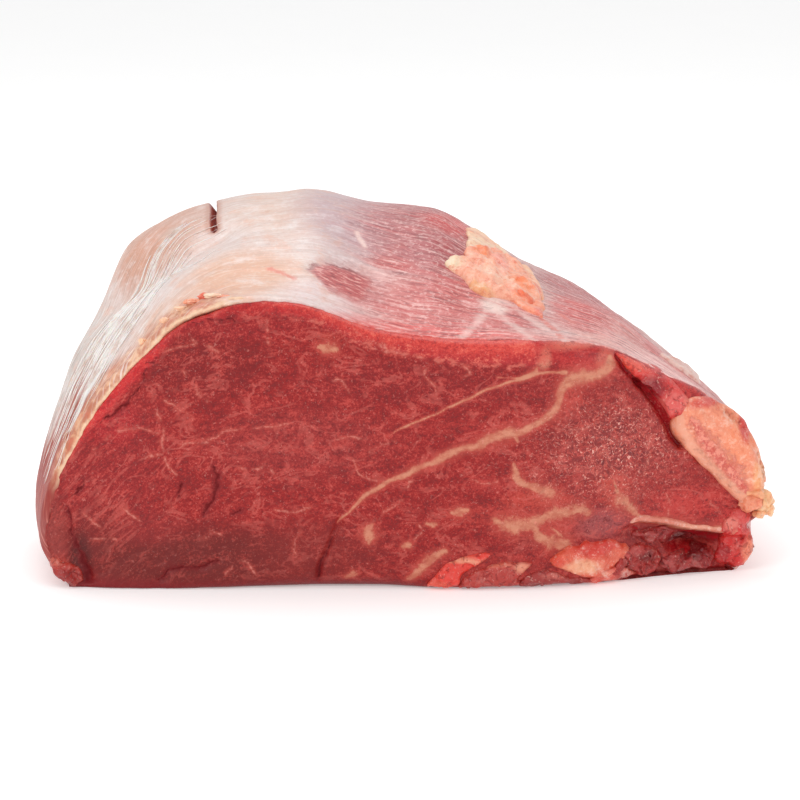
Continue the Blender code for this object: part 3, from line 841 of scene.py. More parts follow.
def rearRings():
    x, z, places, _ = loopAt(cut["rearSkinCount"], cut["rearBaseCount"])
    ringX, ringZ = sectionAt(x, z, 1.0)
    back, radius, under = backAt(x, z), block["rearRadius"], cut["rearUnder"]
    for angle in np.linspace(0.5 * math.pi, 0, cut["rimSteps"]):
        inward = under + (radius - under) * (1 - math.sin(angle))
        yield insetRing(ringX, ringZ, inward, back - radius * (1 - math.cos(angle))), places


def makeMeatShape():
    points, faces, numbers = [], [], []
    for ring, places in itertools.chain(frontRings(), sideRings(), rearRings()):
        first = sum(len(p) for p in points)
        points.append(ring)
        numbers.append((np.arange(first, first + len(ring)), places))
    for first, second in zip(numbers[:-1], numbers[1:]):
        faces += bridgeRings(*first, *second)
    ends = ((points[0], numbers[0][0], frontAt, cut["frontSpacing"]),
            (points[-1], numbers[-1][0], backAt, cut["rearSpacing"]))
    for ring, ringNumbers, depthAt, spacing in ends:
        outline = ring[:, [0, 2]]
        flat, triangles = fillOutline(outline, evenPoints(outline, spacing, 0.62))
        innerX, innerZ = flat[len(ring):].T
        numbered = np.append(ringNumbers, sum(len(p) for p in points) + np.arange(len(innerX)))
        points.append(np.column_stack([innerX, depthAt(innerX, innerZ), innerZ]))
        faces += [tuple(numbered[list(triangle)]) for triangle in triangles]
    return np.vstack(points), faces


def cutRelief(points, normals, values):
    # the small unevenness that a knife leaves in flesh, and what stands proud of it
    x, y, z = points.T
    onCut = smoothStep(0.35, 0.8, np.abs(normals[:, 1]))
    flow = np.column_stack([values["along"] * 0.5, y, values["across"]])
    height = 0.34 * roughNoise(points, 13.0, 3, 2) + 0.13 * roughNoise(flow, 3.6, 7, 2)
    height += 0.06 * softNoise(points, 1.5, 11)
    lowLeft = smoothStep(-40, -58, x) * smoothStep(34, 20, z)
    bulges = 0.9 * np.abs(softNoise(points, 10.0, 17)) + 0.3 * np.abs(softNoise(points, 4.6, 18))
    height += lowLeft * (bulges - 0.3)
    underShelf = smoothStep(0.6, -0.8, z - fromTable(shelfLine, x))
    lowRight = smoothStep(60, 70, x) * underShelf * values["onFront"]
    height += lowRight * (0.8 * roughNoise(points, 4.4, 19, 3) - cut["shelfDrop"])
    height += values["wetness"] * 0.55 * np.abs(softNoise(points, 2.6, 14))
    height += values["rimShine"] * 0.5 * smoothStep(0.8, -0.8, values["edgeGap"] - values["rimWidth"])
    height += 0.16 * smoothStep(-0.4, 0.6, values["seamLevel"])
    height += 0.12 * smoothStep(-0.4, 0.6, values["blotchLevel"])
    height -= 0.5 * smoothStep(-0.6, 0.8, values["creaseLevel"])
    return height * onCut


def makeMeat():
    points, faces = makeMeatShape()
    normals = normalsOf(points, faces)
    cutX, cutZ, _, _ = loopAt(400, 60)
    onFront = points[:, 1] < 0
    front = cutValues(points, frontSeams, frontBlotches, frontCreases, frontVeins, cutX, cutZ)
    rearX, rearZ = sectionAt(cutX, cutZ, 1.0)
    rear = cutValues(points, rearSeams, rearBlotches, rearCreases, rearVeins, rearX, rearZ)
    values = {key: np.where(onFront, front[key], rear[key]) for key in front}
    x, y, z = points.T
    values["onFront"] = onFront.astype(float)
    values["wetness"] = onFront * np.exp(-(((x - 61) / 21) ** 2 + ((z - 39) / 14) ** 2))
    values["rimWidth"] = np.where(onFront, fromTable(cut["rimWidth"], x), cut["rearRimWidth"])
    # where the rim shines: the paint lightens it as painted highlight, and the relief raises it
    values["rimShine"] = onFront * smoothStep(-40, -24, x) * smoothStep(39.4, 38.2, x + 0.12 * (z - 66))
    leftOfHump = smoothStep(-70, -62, x) * smoothStep(-32, -40, x)
    values["rimCover"] = 0.85 - onFront * (0.42 * smoothStep(36, 42, x) + 0.40 * leftOfHump)
    values["crimson"] = onFront * smoothStep(50, 58, x)   # where the clefts are wet and blood red
    values["calm"] = 1 - 0.45 * onFront * smoothStep(26, 12, z) * smoothStep(0, -26, x)
    lighterFoot = np.where(onFront & (x > 0), 0.55 - 0.35 * smoothStep(40, 60, x), 1.0)
    values["footShade"] = smoothStep(4.0, 0.8, z) * lighterFoot
    # the grain runs level, and curves down along the left of the rim
    values["across"] = z + 0.0075 * np.maximum(-(x + 35), 0) ** 2
    values["along"] = x
    relief = mainRelief(points, normals) + cutRelief(points, normals, values)
    shaped = points + normals * relief[:, None]
    radius = fromTable(cut["footRadius"], np.where(onFront, x, -x))
    tuck = radius * (1 - np.sqrt(1 - np.clip(1 - shaped[:, 2] / radius, 0, 1) ** 2))
    inward = np.where(onFront, 1, -1)
    shaped[:, 1] += tuck * smoothStep(-20, -45, y * inward) * inward
    shaped[:, 2] = np.where(z < onTable, 0.0, np.maximum(shaped[:, 2], 0.0))
    frontTints = paintStains(points, "meat", planeStains(frontStains, 1), 0.42, 21)
    rearTints = paintStains(points, "meat", planeStains(rearStains, 1), 0.28, 31)
    return shaped, faces, values, np.where(onFront[:, None], frontTints, rearTints)


def meatPaint():
    paint = Paint("cutMuscle", {
        "Specular IOR Level": 0.30, "Coat Roughness": 0.16, "Subsurface Weight": 0.10,
        "Subsurface Radius": (1.0, 0.25, 0.15), "Subsurface Scale": 0.0012})
    noise, value, blend = paint.noise, paint.value, paint.blend
    along, across = value("along"), value("across")
    flow = paint.vector(along * 0.68, across, 0.0)
    clouds = noise(6.5, 3.0, 0.55, flow)
    patches = noise(2.4, 3.0, 0.6, flow)
    grain = noise(1.1, 5.0, 0.75, paint.vector(along * 0.8, across, 0.0))
    streaks = noise(1.8, 3.0, 0.55, paint.vector(along * 0.28, across, 0.0))
    fine = noise(0.55, 3.0, 0.75)
    wet = value("wetness")
    # soft mottling: greyer pink where the fibres lie across, deep crimson between them
    tone = (clouds - 0.5) * 0.8 + (patches - 0.5) * 0.8 + (grain - 0.5) * 1.7
    tone = tone + (streaks - 0.5) * 0.6 + (fine - 0.5) * 1.7
    colour = paint.tint()
    calm = value("calm")
    colour = paint.layers(colour, [
        (hues["meatPale"], tone.step(-0.06, 0.52) * 0.80 * calm),
        (hues["meatDeep"], tone.step(0.06, -0.46) * 0.88 * calm)])
    # pale wisps where thin films of fat lie between the fibres
    film = noise(8.0, 3.0, 0.5, flow, 1.3) - 0.5
    wisps = (film * film).step(0.0016, 0.0) * clouds.step(0.40, 0.60)
    colour = blend(colour, srgb(204, 96, 86), wisps * 0.42 * calm)
    # the bright wet rim under the skin; where it shines, its paler salmon hue, pale mottles and net of light
    # lines are painted highlight over the red
    edge = value("edgeGap") + (noise(3.0, 4.0, 0.65) - 0.5) * 5.0
    width = value("rimWidth")
    rim = (edge - width).step(1.7, -1.7)
    shine = value("rimShine")
    inner = (edge - width * 0.55).step(-1.6, 1.8)
    rimHue = blend(hues["rimRed"], blend(hues["rimSalmon"], srgb(186, 34, 38), inner), shine)
    rimHue = blend(rimHue, srgb(238, 124, 102), tone.step(0.0, 0.55) * (0.30 + 0.5 * shine))
    rimHue = blend(rimHue, srgb(160, 14, 24), tone.step(0.05, -0.5) * 0.8)
    colour = blend(colour, rimHue, rim * value("rimCover"))
    # a net of light lines where the rim shines: painted highlight
    net = (edge - width).step(-1.0, 0.2) * (edge - width).step(1.3, 0.2)
    net = net * shine * patches.step(0.44, 0.60)
    colour = blend(colour, srgb(220, 116, 100), net * 0.6)
    # seams, softer patches and veins of fat
    ragged = (noise(1.9, 5.0, 0.7) - 0.5) * 1.9
    seam = value("seamLevel") + ragged
    colour = blend(colour, hues["seamPink"], seam.step(-2.0, 0.1) * 0.60)
    fatHue = blend(hues["seam"], hues["seamPale"], patches.step(0.36, 0.60))
    colour = blend(colour, fatHue, seam.step(-0.35, 0.70) * 0.78)
    blotch = value("blotchLevel") + (noise(2.4, 6.0, 0.74, None, 0.6) - 0.5) * 4.6
    colour = paint.layers(colour, [
        (hues["seamPink"], blotch.step(-2.4, 0.1) * 0.6),
        (fatHue, blotch.step(-0.5, 0.8) * 0.74)])
    vein = value("veinGap") + (noise(0.8, 3.0, 0.66) - 0.5) * 1.1
    strength = noise(3.6, 2.0).step(0.36, 0.62)
    colour = paint.layers(colour, [
        (hues["seamPink"], vein.step(1.2, 0.0) * strength * 0.55),
        (hues["vein"], vein.step(0.42, -0.1) * strength * 0.66)])
    # painted glints: small pale highlights over the flesh, fewer where it is calm
    glint = noise(0.7, 3.0, 0.62, paint.warped(1.6, 0.7), 0.7)
    colour = blend(colour, srgb(232, 150, 138), glint.step(0.60, 0.70) * 0.34 * calm)
    # clefts: painted shade round and in them, which turns to their own blood red where they are crimson; and
    # painted shade along the foot of the cut
    crease = value("creaseLevel") + (noise(1.0, 4.0, 0.68) - 0.5) * 2.2
    colour = blend(colour, hues["shadeRed"], crease.step(-1.8, 0.4) * 0.60)
    deep = crease.step(-0.1, 0.9)
    deepHue = blend(hues["cleftShadeDark"], srgb(186, 4, 28), value("crimson"))
    colour = paint.layers(colour, [
        (deepHue, deep * 0.85),
        (hues["shadeRed"], value("footShade") * 0.85)])
    # wet, worm-like folds: darker troughs, with painted highlight on their crests and painted glints there
    worms = noise(2.1, 2.0, 0.5, paint.warped(2.2, 1.6), 1.6)
    ridge = (worms - 0.5) * (worms - 0.5)
    colour = paint.layers(colour, [
        (srgb(118, 14, 18), worms.step(0.48, 0.34) * wet * 0.7),
        (srgb(206, 82, 68), ridge.step(0.0030, 0.0) * wet * 0.7),
        (srgb(250, 208, 192), ridge.step(0.0007, 0.0) * glint.step(0.50, 0.60) * wet * 0.85)])
    height = grain * 0.5 + patches * 0.35 + fine * 0.30 + wet * worms * 1.6
    roughness = 0.42 + (patches - 0.5) * 0.3 - wet * 0.14 - rim * 0.10 + deep * 0.4
    coat = wet * 0.4 + rim * 0.14 + 0.05 - deep * 0.5
    return paint.finish(colour, roughness, height, 0.40, coat)


meatShape, meatFaces, values, tints = makeMeat()
print("meat", len(meatShape), "points")
makePiece("cutMuscle", meatShape, meatFaces, meatPaint(), values, tints)


# The skin: silverskin and fat over the left and the top, a thin pink membrane over the right

skin = {
    "across": 420, "rows": 172, "lipRows": 5, "coarser": 4,
    "thin": 0.9,          # thickness away from the cut's edge
    "thickerLow": 1.6,    # what the flanks have on top of it
    "proud": 0.15,
    "leastStart": 0.15,
    "rearLeft": 2.6,      # how much of the rear edge it leaves bare
    "raggedLeft": 0.65, "raggedRight": 0.9,
    "lipWidth": 0.55,     # how wide the rounded lip is, as a share of its thickness
    "rearLip": 0.8, "rearThick": 1.2,
    "closerAtFront": 1.12,
    "slitRound": 99.0,    # how far round the cut the slit lies
}

# how far back a fibre of the silverskin has run, by the distance round the cut
fibreDrift = [(0, -6), (42, 10), (60, 21), (79, 34), (97, 49), (110, 55), (180, 62), (330, 84)]

fineSkin = curveThrough(block["cutOutline"], 2000)
fineSkin[:, 1] = np.maximum(fineSkin[:, 1], 0.0)
fineAround = np.linspace(0, skinLength, len(fineSkin))


def outlineAt(around):
    return [np.interp(around, fineAround, fineSkin[:, k]) for k in (0, 1)]


def skinPlace(around, run):
    # the block's skin at a distance round the cut and a distance back from the cut's edge
    def outwards(x, z):
        alongX, alongZ = np.gradient(x), np.gradient(z)
        length = np.hypot(alongX, alongZ) + 1e-9
        return [np.interp(around, fineAround, along / length) for along in (-alongZ, alongX)]

    x0, z0 = outlineAt(around)
    frontOut = outwards(fineSkin[:, 0], fineSkin[:, 1])
    rearOut = outwards(*sectionAt(fineSkin[:, 0], fineSkin[:, 1], 1.0))
    rim, rear = block["rimRadius"], block["rearRadius"]
    front, back = frontAt(x0, z0), backAt(x0, z0)
    quarter, length = 0.5 * math.pi * rim, back - rear - front - rim
    share = np.clip((run - quarter) / length, 0, 1)
    x, z = sectionAt(x0, z0, share)
    frontTurn = np.clip(run / rim, 0, 0.5 * math.pi)
    rearTurn = np.clip((run - quarter - length) / rear, 0, 0.5 * math.pi)
    frontIn, rearIn = rim * (1 - np.sin(frontTurn)), rear * (1 - np.cos(rearTurn))
    x = x - frontIn * frontOut[0] - rearIn * rearOut[0]
    z = z - frontIn * frontOut[1] - rearIn * rearOut[1]
    y = front + rim * (1 - np.cos(frontTurn)) + length * share + rear * np.sin(rearTurn)
    return np.stack([x, y, z], axis=-1)


def runLength(around):
    x0, z0 = outlineAt(around)
    rim, rear = block["rimRadius"], block["rearRadius"]
    return backAt(x0, z0) - rear - frontAt(x0, z0) - rim + 0.5 * math.pi * (rim + rear)


def gridNormals(grid):
    normal = np.cross(np.gradient(grid, axis=1), np.gradient(grid, axis=0))
    return normal / (np.linalg.norm(normal, axis=2, keepdims=True) + 1e-9)


def fibrePlaces(points, around, run):
    # coordinates across the skin's fibres: up the left flank and over the hump, and along
    # the curved grain of the pink membrane
    x, y = points[:, 0], points[:, 1]
    drift = fromTable(fibreDrift, around)
    slant = fromTable([(-75, 0.02), (-50, 0.08), (-30, 0.2), (10, 0.34), (70, 0.5)], y)
    silver = smoothStep(4, -30, x + 5 * roughNoise(points, 14.0, 51, 2))
    return {"acrossSilver": run - drift, "around": around, "acrossPink": y + slant * (x - 10),
            "alongPink": x - 0.4 * y, "silverShare": silver}


def fineSkinRelief(points, places):
    silver = places["silverShare"]
    left = smoothStep(95, 60, places["around"])
    silverLines = np.column_stack([places["acrossSilver"], places["around"] * 0.08, 0 * silver])
    pinkLines = np.column_stack([places["acrossPink"], places["alongPink"] * 0.09, 0 * silver])
    height = 0.28 * roughNoise(points, 11.0, 61, 2)
    height += silver * (0.15 + 0.22 * left) * roughNoise(silverLines, 3.0, 64, 2)
    height += (1 - silver) * 0.17 * roughNoise(pinkLines, 2.6, 67, 2)
    height += (1 - silver) * 0.10 * roughNoise(points, 3.0, 69, 2)
    return height


tornOutline = [(-27, -45), (-25, -41), (-20.5, -38.2), (-14, -37), (-9, -37.6), (-8, -42), (-10, -50),
               (-14, -55), (-20, -54)]
whiteLines = [[(26.2, -37), (25.4, -43), (23.4, -50.7), (19.9, -58.8), (17.5, -64.2)],
              [(27, -38), (28.4, -45), (31, -50.6), (34.2, -56.3), (37.8, -66.2)],
              [(31, -37), (37, -46), (43, -54), (47, -62)]]
skinStains = {
    "topPeach": ((-28, 6, 98), (26, 40, 16), (226, 192, 174), 0.7),
    "frontPeach": ((-46, -50, 88), (20, 19, 14), "peach", 0.95),
    "frontPeachB": ((-66, -58, 74), (13, 12, 12), "peach", 0.7),
    "lobePeach": ((-74, 12, 88), (23, 42, 22), (206, 150, 126), 1),
    "lobeOrange": ((-74, 4, 88), (7, 8, 7), (218, 150, 120), 0.6),
    "lobeGrey": ((-68, -2, 91), (4, 5, 5), (208, 190, 180), 0.5),
    "flank": ((-104, 0, 44), (24, 100, 44), (204, 194, 188), 0.85),
    "flankTan": ((-93, -62, 44), (9, 14, 20), (180, 100, 80), 0.95),
    "flankTanHigh": ((-84, -60, 60), (8, 8, 10), (206, 140, 114), 0.8),
    "flankFoot": ((-99, -50, 6), (10, 50, 9), (196, 98, 92), 0.8),
    "valley": ((-72, -30, 80), (16, 14, 13), (222, 212, 210), 0.8),
    "frontWhite": ((-22, -58, 80), (16, 14, 10), (230, 206, 204), 0.85),
    # painted shade: a greyer lilac where the top falls away to the right of the hump
    "lilacFalloffShade": ((-14, 4, 96), (20, 46, 22), (190, 160, 168), 0.85),
    "mauve": ((12, 2, 90), (28, 60, 26), (178, 88, 90), 0.95),
    "mauveDeep": ((4, -18, 86), (16, 12, 12), (176, 84, 88), 0.7),
    "pinkFront": ((14, -48, 75), (34, 22, 16), (206, 104, 100), 0.95),
    "rimPink": ((8, -64, 73), (44, 7, 8), (228, 88, 82), 0.85),
    "rimPinkRight": ((50, -60, 66), (18, 8, 8), (236, 136, 126), 0.8),
    "topRed": ((14, 6, 92), (11, 14, 8), (202, 54, 52), 1),
    "topRedEdge": ((19, 14, 89), (9, 12, 10), (222, 66, 58), 1),
    "spotRed": ((-3, -30, 86), (8, 4, 6), (196, 78, 74), 0.8),
    "rightBack": ((60, 14, 66), (30, 48, 22), (180, 60, 62), 1),
    "rightMembrane": ((68, -26, 58), (26, 34, 22), (208, 84, 80), 0.95),
    "besideFlapRed": ((50, -28, 68), (11, 24, 10), (212, 82, 78), 0.9),
    "fanPale": ((27, -41, 74), (5, 8, 8), (244, 226, 216), 0.85),
    "rightPale": ((74, -44, 58), (26, 17, 15), (248, 194, 188), 0.95),
    "besideLobe": ((57, -52, 69), (9, 9, 7), (240, 170, 158), 0.8),
    "paleAcross": ((66, -28, 64), (8, 22, 6), (226, 160, 152), 0.6),
    "overFatEnd": ((88, -52, 50), (6, 6, 5), (238, 120, 104), 0.9),
    "rightFlank": ((104, 4, 26), (16, 70, 30), (196, 84, 78), 0.9),
    "rightBetween": ((92, 4, 46), (16, 64, 10), (200, 88, 84), 0.7),
    "rightEndRed": ((97, -46, 44), (8, 8, 6), (220, 64, 60), 0.9),
    "rightEndFat": ((106, -49, 31), (9, 9, 14), (236, 146, 110), 1),
    "rearPeach": ((-40, 58, 84), (40, 16, 22), (236, 206, 188), 0.7),
    "torn": ((-14, -44, 80), (13, 11, 14), "torn", 0.6),
    "rightFoot": ((104, -40, 6), (9, 24, 8), (190, 60, 54), 0.9),
}
skinMarks = {   # small marks on the top: line (x, y), half width
    "redMarks": [[(-37.4, -46.4), (-34, -48.6), (-30.4, -51)], [(41.2, -44), (42.6, -48.4), (44.7, -51.6)],
                 [(45.2, -56), (45.6, -60)], [(47, -34), (50, -40)]],
    "paleMarks": [[(-12.8, -16.5), (-12.2, -19.5), (-10.4, -24.2)]],
}


def skinColumns():
    # places round the cut, which stand closer where the slit runs
    fine = np.linspace(0, skinLength, 4000)
    density = np.cumsum(1 + 2.2 * np.exp(-((fine - skin["slitRound"]) / 5) ** 2))
    return np.interp(np.linspace(density[0], density[-1], skin["across"]), density, fine)


def skinRuns(around):
    # how far back each point lies, and how far its lips turn in, in rows from the front to
    # the rear; then where the columns start, and how thick their cut edge is
    strip = np.column_stack([around, 0 * around, 0 * around])
    left, right = skin["raggedLeft"], skin["raggedRight"]
    ragged = fromTable([(0, left), (110, left), (150, right)], around)
    start = fromTable(skinEdge["start"], around)
    start += ragged * (roughNoise(strip, 6.0, 41, 3) + 0.6 * softNoise(strip, 1.7, 43))
    start = np.maximum(start, skin["leastStart"])
    end = runLength(around) - skin["rearLeft"] + 0.8 * roughNoise(strip, 9.0, 45, 3)
    uneven = 1 + 0.30 * softNoise(strip, 6.0, 47) + 0.22 * softNoise(strip, 2.6, 48)
    thick = fromTable(skinEdge["thick"], around) * uneven + cut["edgeUnder"]

    turn = 0.5 * math.pi * np.arange(skin["lipRows"]) / skin["lipRows"]
    lipWidth, rearLip = skin["lipWidth"] * thick, skin["rearLip"]
    lipRun = (1 - np.cos(turn))[:, None] * lipWidth
    lipIn = (1 - np.sin(turn))[:, None] * thick
    first, last = start + lipWidth, end - rearLip
    share = np.linspace(0, 1, skin["rows"])[:, None] ** skin["closerAtFront"]
    run = np.vstack([
        start + lipRun, first + (last - first) * share,
        last + rearLip - lipRun[::-1] * rearLip / lipWidth])
    level = np.zeros((skin["rows"], skin["across"]))
    inward = np.vstack([lipIn, level, lipIn[::-1] * (skin["rearThick"] / thick)])
    return run, inward, start, thick


def gridQuads(numbers):
    corners = [numbers[:-1, :-1], numbers[:-1, 1:], numbers[1:, 1:], numbers[1:, :-1]]
    return [tuple(quad) for quad in np.stack(corners, -1).reshape(-1, 4)]


def gridBorder(numbers):
    # the numbers round a grid, and their places from 0 to 1
    sides = [numbers[0, :-1], numbers[:-1, -1], numbers[-1, :0:-1], numbers[:0:-1, 0]]
    places = [k / 4 + np.arange(len(side)) / len(side) / 4 for k, side in enumerate(sides)]
    return np.concatenate(sides), np.concatenate(places)


def tornLevel(top, onTop):
    # how far inside the torn patch a point lies, below 0 outside it
    away = distanceToLine(top, tornOutline + tornOutline[:1])
    torn = np.where(insideOutline(top, tornOutline), away, -away) * onTop - 20 * (1 - onTop)
    return np.where(top[:, 1] < -49, np.minimum(torn, 2.0 + (top[:, 1] + 49) * 0.45), torn)


def skinZones(flat, around, edgeGap):
    # how much each point belongs to each of the skin's areas
    x, y, z = flat.T
    onTop = z > 40
    top = flat[:, [0, 1]]
    zones = {
        "tornLevel": tornLevel(top, onTop),
        "tornUpper": smoothStep(-47, -43, y) * smoothStep(-8.5, -14, x),
        "leftShare": smoothStep(100, 70, around) * (0.35 + 0.65 * smoothStep(75, 35, edgeGap)),
        "fleshZone": smoothStep(44, 27, around + 4 * roughNoise(flat, 7.0, 77, 2)) * smoothStep(80, 45,
                                                                                                edgeGap),
        "rightLow": smoothStep(46, 34, z) * smoothStep(80, 92, x),
        "tanZone": smoothStep(46, 24, edgeGap + 5 * roughNoise(flat, 7.0, 78, 2))
        * smoothStep(64, 52, around) * smoothStep(18, 30, around),
    }
    lineSets = {"slitGap": [topFurrows["slit"][0]], "whiteGap": whiteLines,
                "redGap": skinMarks["redMarks"], "paleGap": skinMarks["paleMarks"]}
    for key, lines in lineSets.items():
        zones[key] = np.where(onTop, nearestLine(top, lines), noLine)
    return zones


def makeSkin():
    columns = skinColumns()
    run, inward, start, thick = skinRuns(columns)
    roundCut = np.broadcast_to(columns, run.shape)
    grid = skinPlace(roundCut, run)
    flat, normals = grid.reshape(-1, 3), gridNormals(grid).reshape(-1, 3)
    around, edgeGap = roundCut.ravel(), (run - start).ravel()
    places = fibrePlaces(flat, around, run.ravel())
    creamZone = smoothStep(14.0, 6.0, edgeGap + 3.0 * roughNoise(flat, 5.0, 73, 2))
    creamZone *= smoothStep(26, 38, around)
    creamZone *= smoothStep(118, 104, around)
    height = mainRelief(flat, normals) + creamZone * 0.32 * roughNoise(flat, 2.8, 75, 3)
    fine = fineSkinRelief(flat, places) * (0.35 + 0.65 * smoothStep(0, 6, edgeGap))
    outer = aboveTable(flat + normals * (height + skin["proud"] + fine - inward.ravel())[:, None])
    depth = np.maximum(thick, skin["thin"]) + skin["thickerLow"] * smoothStep(45, 18, grid[..., 2])
    inner = aboveTable(flat + normals * (height - depth.ravel())[:, None])

    # the hidden side has fewer rows and columns
    high, wide = run.shape
    numbers = np.arange(high * wide).reshape(high, wide)
    picks = [np.unique(np.append(np.arange(0, count, skin["coarser"]), count - 1)) for count in (high, wide)]
    inside = inner.reshape(high, wide, 3)[np.ix_(*picks)]
    insideNumbers = high * wide + np.arange(inside[..., 0].size).reshape(inside.shape[:2])
    faces = gridQuads(numbers) + gridQuads(insideNumbers)
    faces += bridgeRings(*gridBorder(numbers), *gridBorder(insideNumbers))

    picked = numbers[np.ix_(*picks)].ravel()
    places.update(skinZones(flat, around, edgeGap), edgeGap=edgeGap, creamZone=creamZone)
    values = {key: np.concatenate([value, value[picked]]) for key, value in places.items()}
    tints = paintStains(flat, "silver", skinStains, 0.30, 81)
    return np.vstack([outer, inside.reshape(-1, 3)]), faces, values, np.vstack([tints, tints[picked]])


def skinPaint():
    paint = Paint("silverskin", {
        "Specular IOR Level": 0.4, "Coat Roughness": 0.22, "Subsurface Weight": 0.10,
        "Subsurface Radius": (1.0, 0.5, 0.4), "Subsurface Scale": 0.0015})
    noise, value, blend = paint.noise, paint.value, paint.blend
    silver = value("silverShare")
    pink = 1.0 - silver
    around, across = value("around"), value("acrossSilver")
    left = value("leftShare")
    wander = (noise(9.0, 2.0) - 0.5) * 2.4
    silverPlace = paint.vector(across + wander, around * 0.065, 0.0)
    pinkPlace = paint.vector(value("acrossPink") + wander, value("alongPink") * 0.075, 0.0)
    broadLines = noise(2.6, 3.0, 0.6, silverPlace)
    fineLines = noise(0.75, 3.0, 0.6, silverPlace)
    pinkBroad = noise(2.8, 3.0, 0.6, pinkPlace)
    pinkFine = noise(1.15, 3.0, 0.62, pinkPlace)
    mottle = noise(7.0, 4.0, 0.6)
    colour = paint.tint()
    # silverskin: white sheets over warm fat, with fine strands that thicken down the left
    colour = paint.layers(colour, [
        (srgb(242, 236, 236), mottle.step(0.5, 0.75) * silver * 0.5),
        (srgb(228, 172, 146), mottle.step(0.48, 0.30) * silver * 0.5)])
    speck = noise(1.4, 4.0, 0.68)
    colour = paint.layers(colour, [
        (srgb(204, 164, 150), speck.step(0.50, 0.30) * silver * 0.35),
        (srgb(248, 240, 238), speck.step(0.52, 0.72) * silver * 0.30)])
    folds = broadLines.step(0.46, 0.28) * silver
    colour = blend(colour, srgb(204, 158, 140), folds * 0.42)
    gaps = fineLines.step(0.48, 0.34) * silver
    colour = blend(colour, srgb(150, 124, 112), gaps * (0.16 + left * 0.62))
    strands = fineLines.step(0.54, 0.68) * silver
    colour = paint.layers(colour, [
        (srgb(246, 242, 240), strands * (0.30 + left * 0.65)),
        (srgb(164, 66, 46), value("tanZone") * (0.95 - strands * 0.35))])
    # pink membrane: pale fibres over flesh, with fine dark wrinkles
    pink = pink * (1 - value("rightLow") * 0.55)
    colour = paint.layers(colour, [
        (srgb(192, 48, 50), pinkBroad.step(0.50, 0.34) * pink * 0.55),
        (srgb(244, 200, 194), pinkFine.step(0.51, 0.66) * pink * 0.60),
        (srgb(136, 36, 42), pinkFine.step(0.46, 0.36) * pink * 0.55)])
    crinkle = (pinkBroad - 0.5) * (pinkBroad - 0.5)
    wrinkles = crinkle.step(0.0010, 0.0) * mottle.step(0.42, 0.56)
    colour = paint.layers(colour, [
        (srgb(126, 46, 50), wrinkles * pink * 0.55),
        (srgb(190, 66, 64), mottle.step(0.46, 0.30) * pink * 0.35),
        (srgb(246, 206, 200), speck.step(0.50, 0.68) * pink * 0.50),
        (srgb(168, 58, 60), speck.step(0.48, 0.34) * pink * 0.35)])
    paler = noise(8.0, 4.0, 0.62).step(0.50, 0.64) * value("rightLow")
    colour = blend(colour, srgb(228, 164, 148), paler * 0.6)
    white = value("whiteGap") + (pinkFine - 0.5) * 7.0 + (mottle - 0.5) * 4.0
    colour = blend(colour, srgb(240, 208, 200), white.step(2.2, -0.4) * (0.35 + pinkFine * 0.5))
    # where the membrane is torn, bare flesh grain shows
    torn = value("tornLevel") + (noise(2.0, 3.0, 0.6) - 0.5) * 2.8
    grainPlace = paint.vector(value("acrossPink"), value("alongPink") * 0.22, 0.0)
    grain = noise(0.8, 3.0, 0.62, grainPlace)
    bare = blend(srgb(186, 78, 78), srgb(232, 168, 160), grain.step(0.50, 0.64) * 0.85)
    bare = blend(bare, srgb(132, 38, 46), grain.step(0.46, 0.34) * 0.8)
    colour = blend(colour, bare, torn.step(-0.8, 2.0) * 0.9)
    # a dark line along the tear's upper edge, in the groove there: painted shade
    upper = torn.step(-0.5, 0.1) * torn.step(1.5, 0.4) * value("tornUpper")
    upper = upper * mottle.step(0.36, 0.52)
    colour = blend(colour, srgb(130, 44, 50), upper * 0.7)
    slit = value("slitGap") + (noise(2.0, 2.0) - 0.5) * 0.3
    colour = blend(colour, srgb(190, 132, 110), slit.step(3.2, 1.4) * 0.7)
    inSlit = slit.step(1.3, 0.7)
    colour = blend(colour, srgb(156, 66, 52), inSlit)
    redMark = (value("redGap") + (speck - 0.5) * 2.6).step(1.6, 0.3)
    colour = blend(colour, srgb(222, 104, 88), redMark * 0.6)
    paleMark = (value("paleGap") + (speck - 0.5) * 2.0).step(1.3, 0.2)
    colour = blend(colour, srgb(240, 206, 196), paleMark * 0.75)
    # the cut edge of the skin: tan and cream fat, lumpy
    cream = value("creamZone")
    clump = noise(3.4, 4.0, 0.6)
    creamHue = blend(srgb(190, 112, 80), srgb(234, 184, 146), clump.step(0.40, 0.66))
    creamHue = blend(creamHue, srgb(216, 118, 92), noise(5.2, 3.0, 0.6).step(0.52, 0.70) * 0.6)
    colour = blend(colour, creamHue, cream * (0.86 - fineLines.step(0.52, 0.66) * 0.45))
    lip = (value("edgeGap") + (speck - 0.5) * 1.6).step(1.9, 0.7)
    colour = blend(colour, srgb(244, 212, 176), lip * cream * 0.85)
    # flesh that wraps round the lower left corner
    flesh = value("fleshZone")
    fleshHue = blend(srgb(146, 40, 34), srgb(204, 112, 94), fineLines.step(0.50, 0.66) * 0.7)
    colour = blend(colour, fleshHue, flesh * 0.9)
    height = (fineLines * 0.34 + broadLines * 0.35) * silver * (0.5 + left)
    height = height + (pinkFine * 0.55 + pinkBroad * 0.35) * pink + torn.step(-0.3, 0.5) * grain * 0.5
    height = height + speck * 0.16 + cream * clump * 0.6
    roughness = 0.36 + (mottle - 0.5) * 0.25 + left * 0.14
    coat = (0.22 - left * 0.14) * (1 - inSlit) * (1 - flesh * 0.7)
    return paint.finish(colour, roughness, height, 0.42, coat)


skinShape, skinFaces, values, tints = makeSkin()
makePiece("silverskin", skinShape, skinFaces, skinPaint(), values, tints)
print("silverskin", len(skinShape), "points")


# Fat, trim and loose flaps laid on the block. An outline is seen from the front (x, z) or
# from the top (x, y); it is the front where a pad gives no facing. Stains are centre, radii,
# colour and strength in that plane.

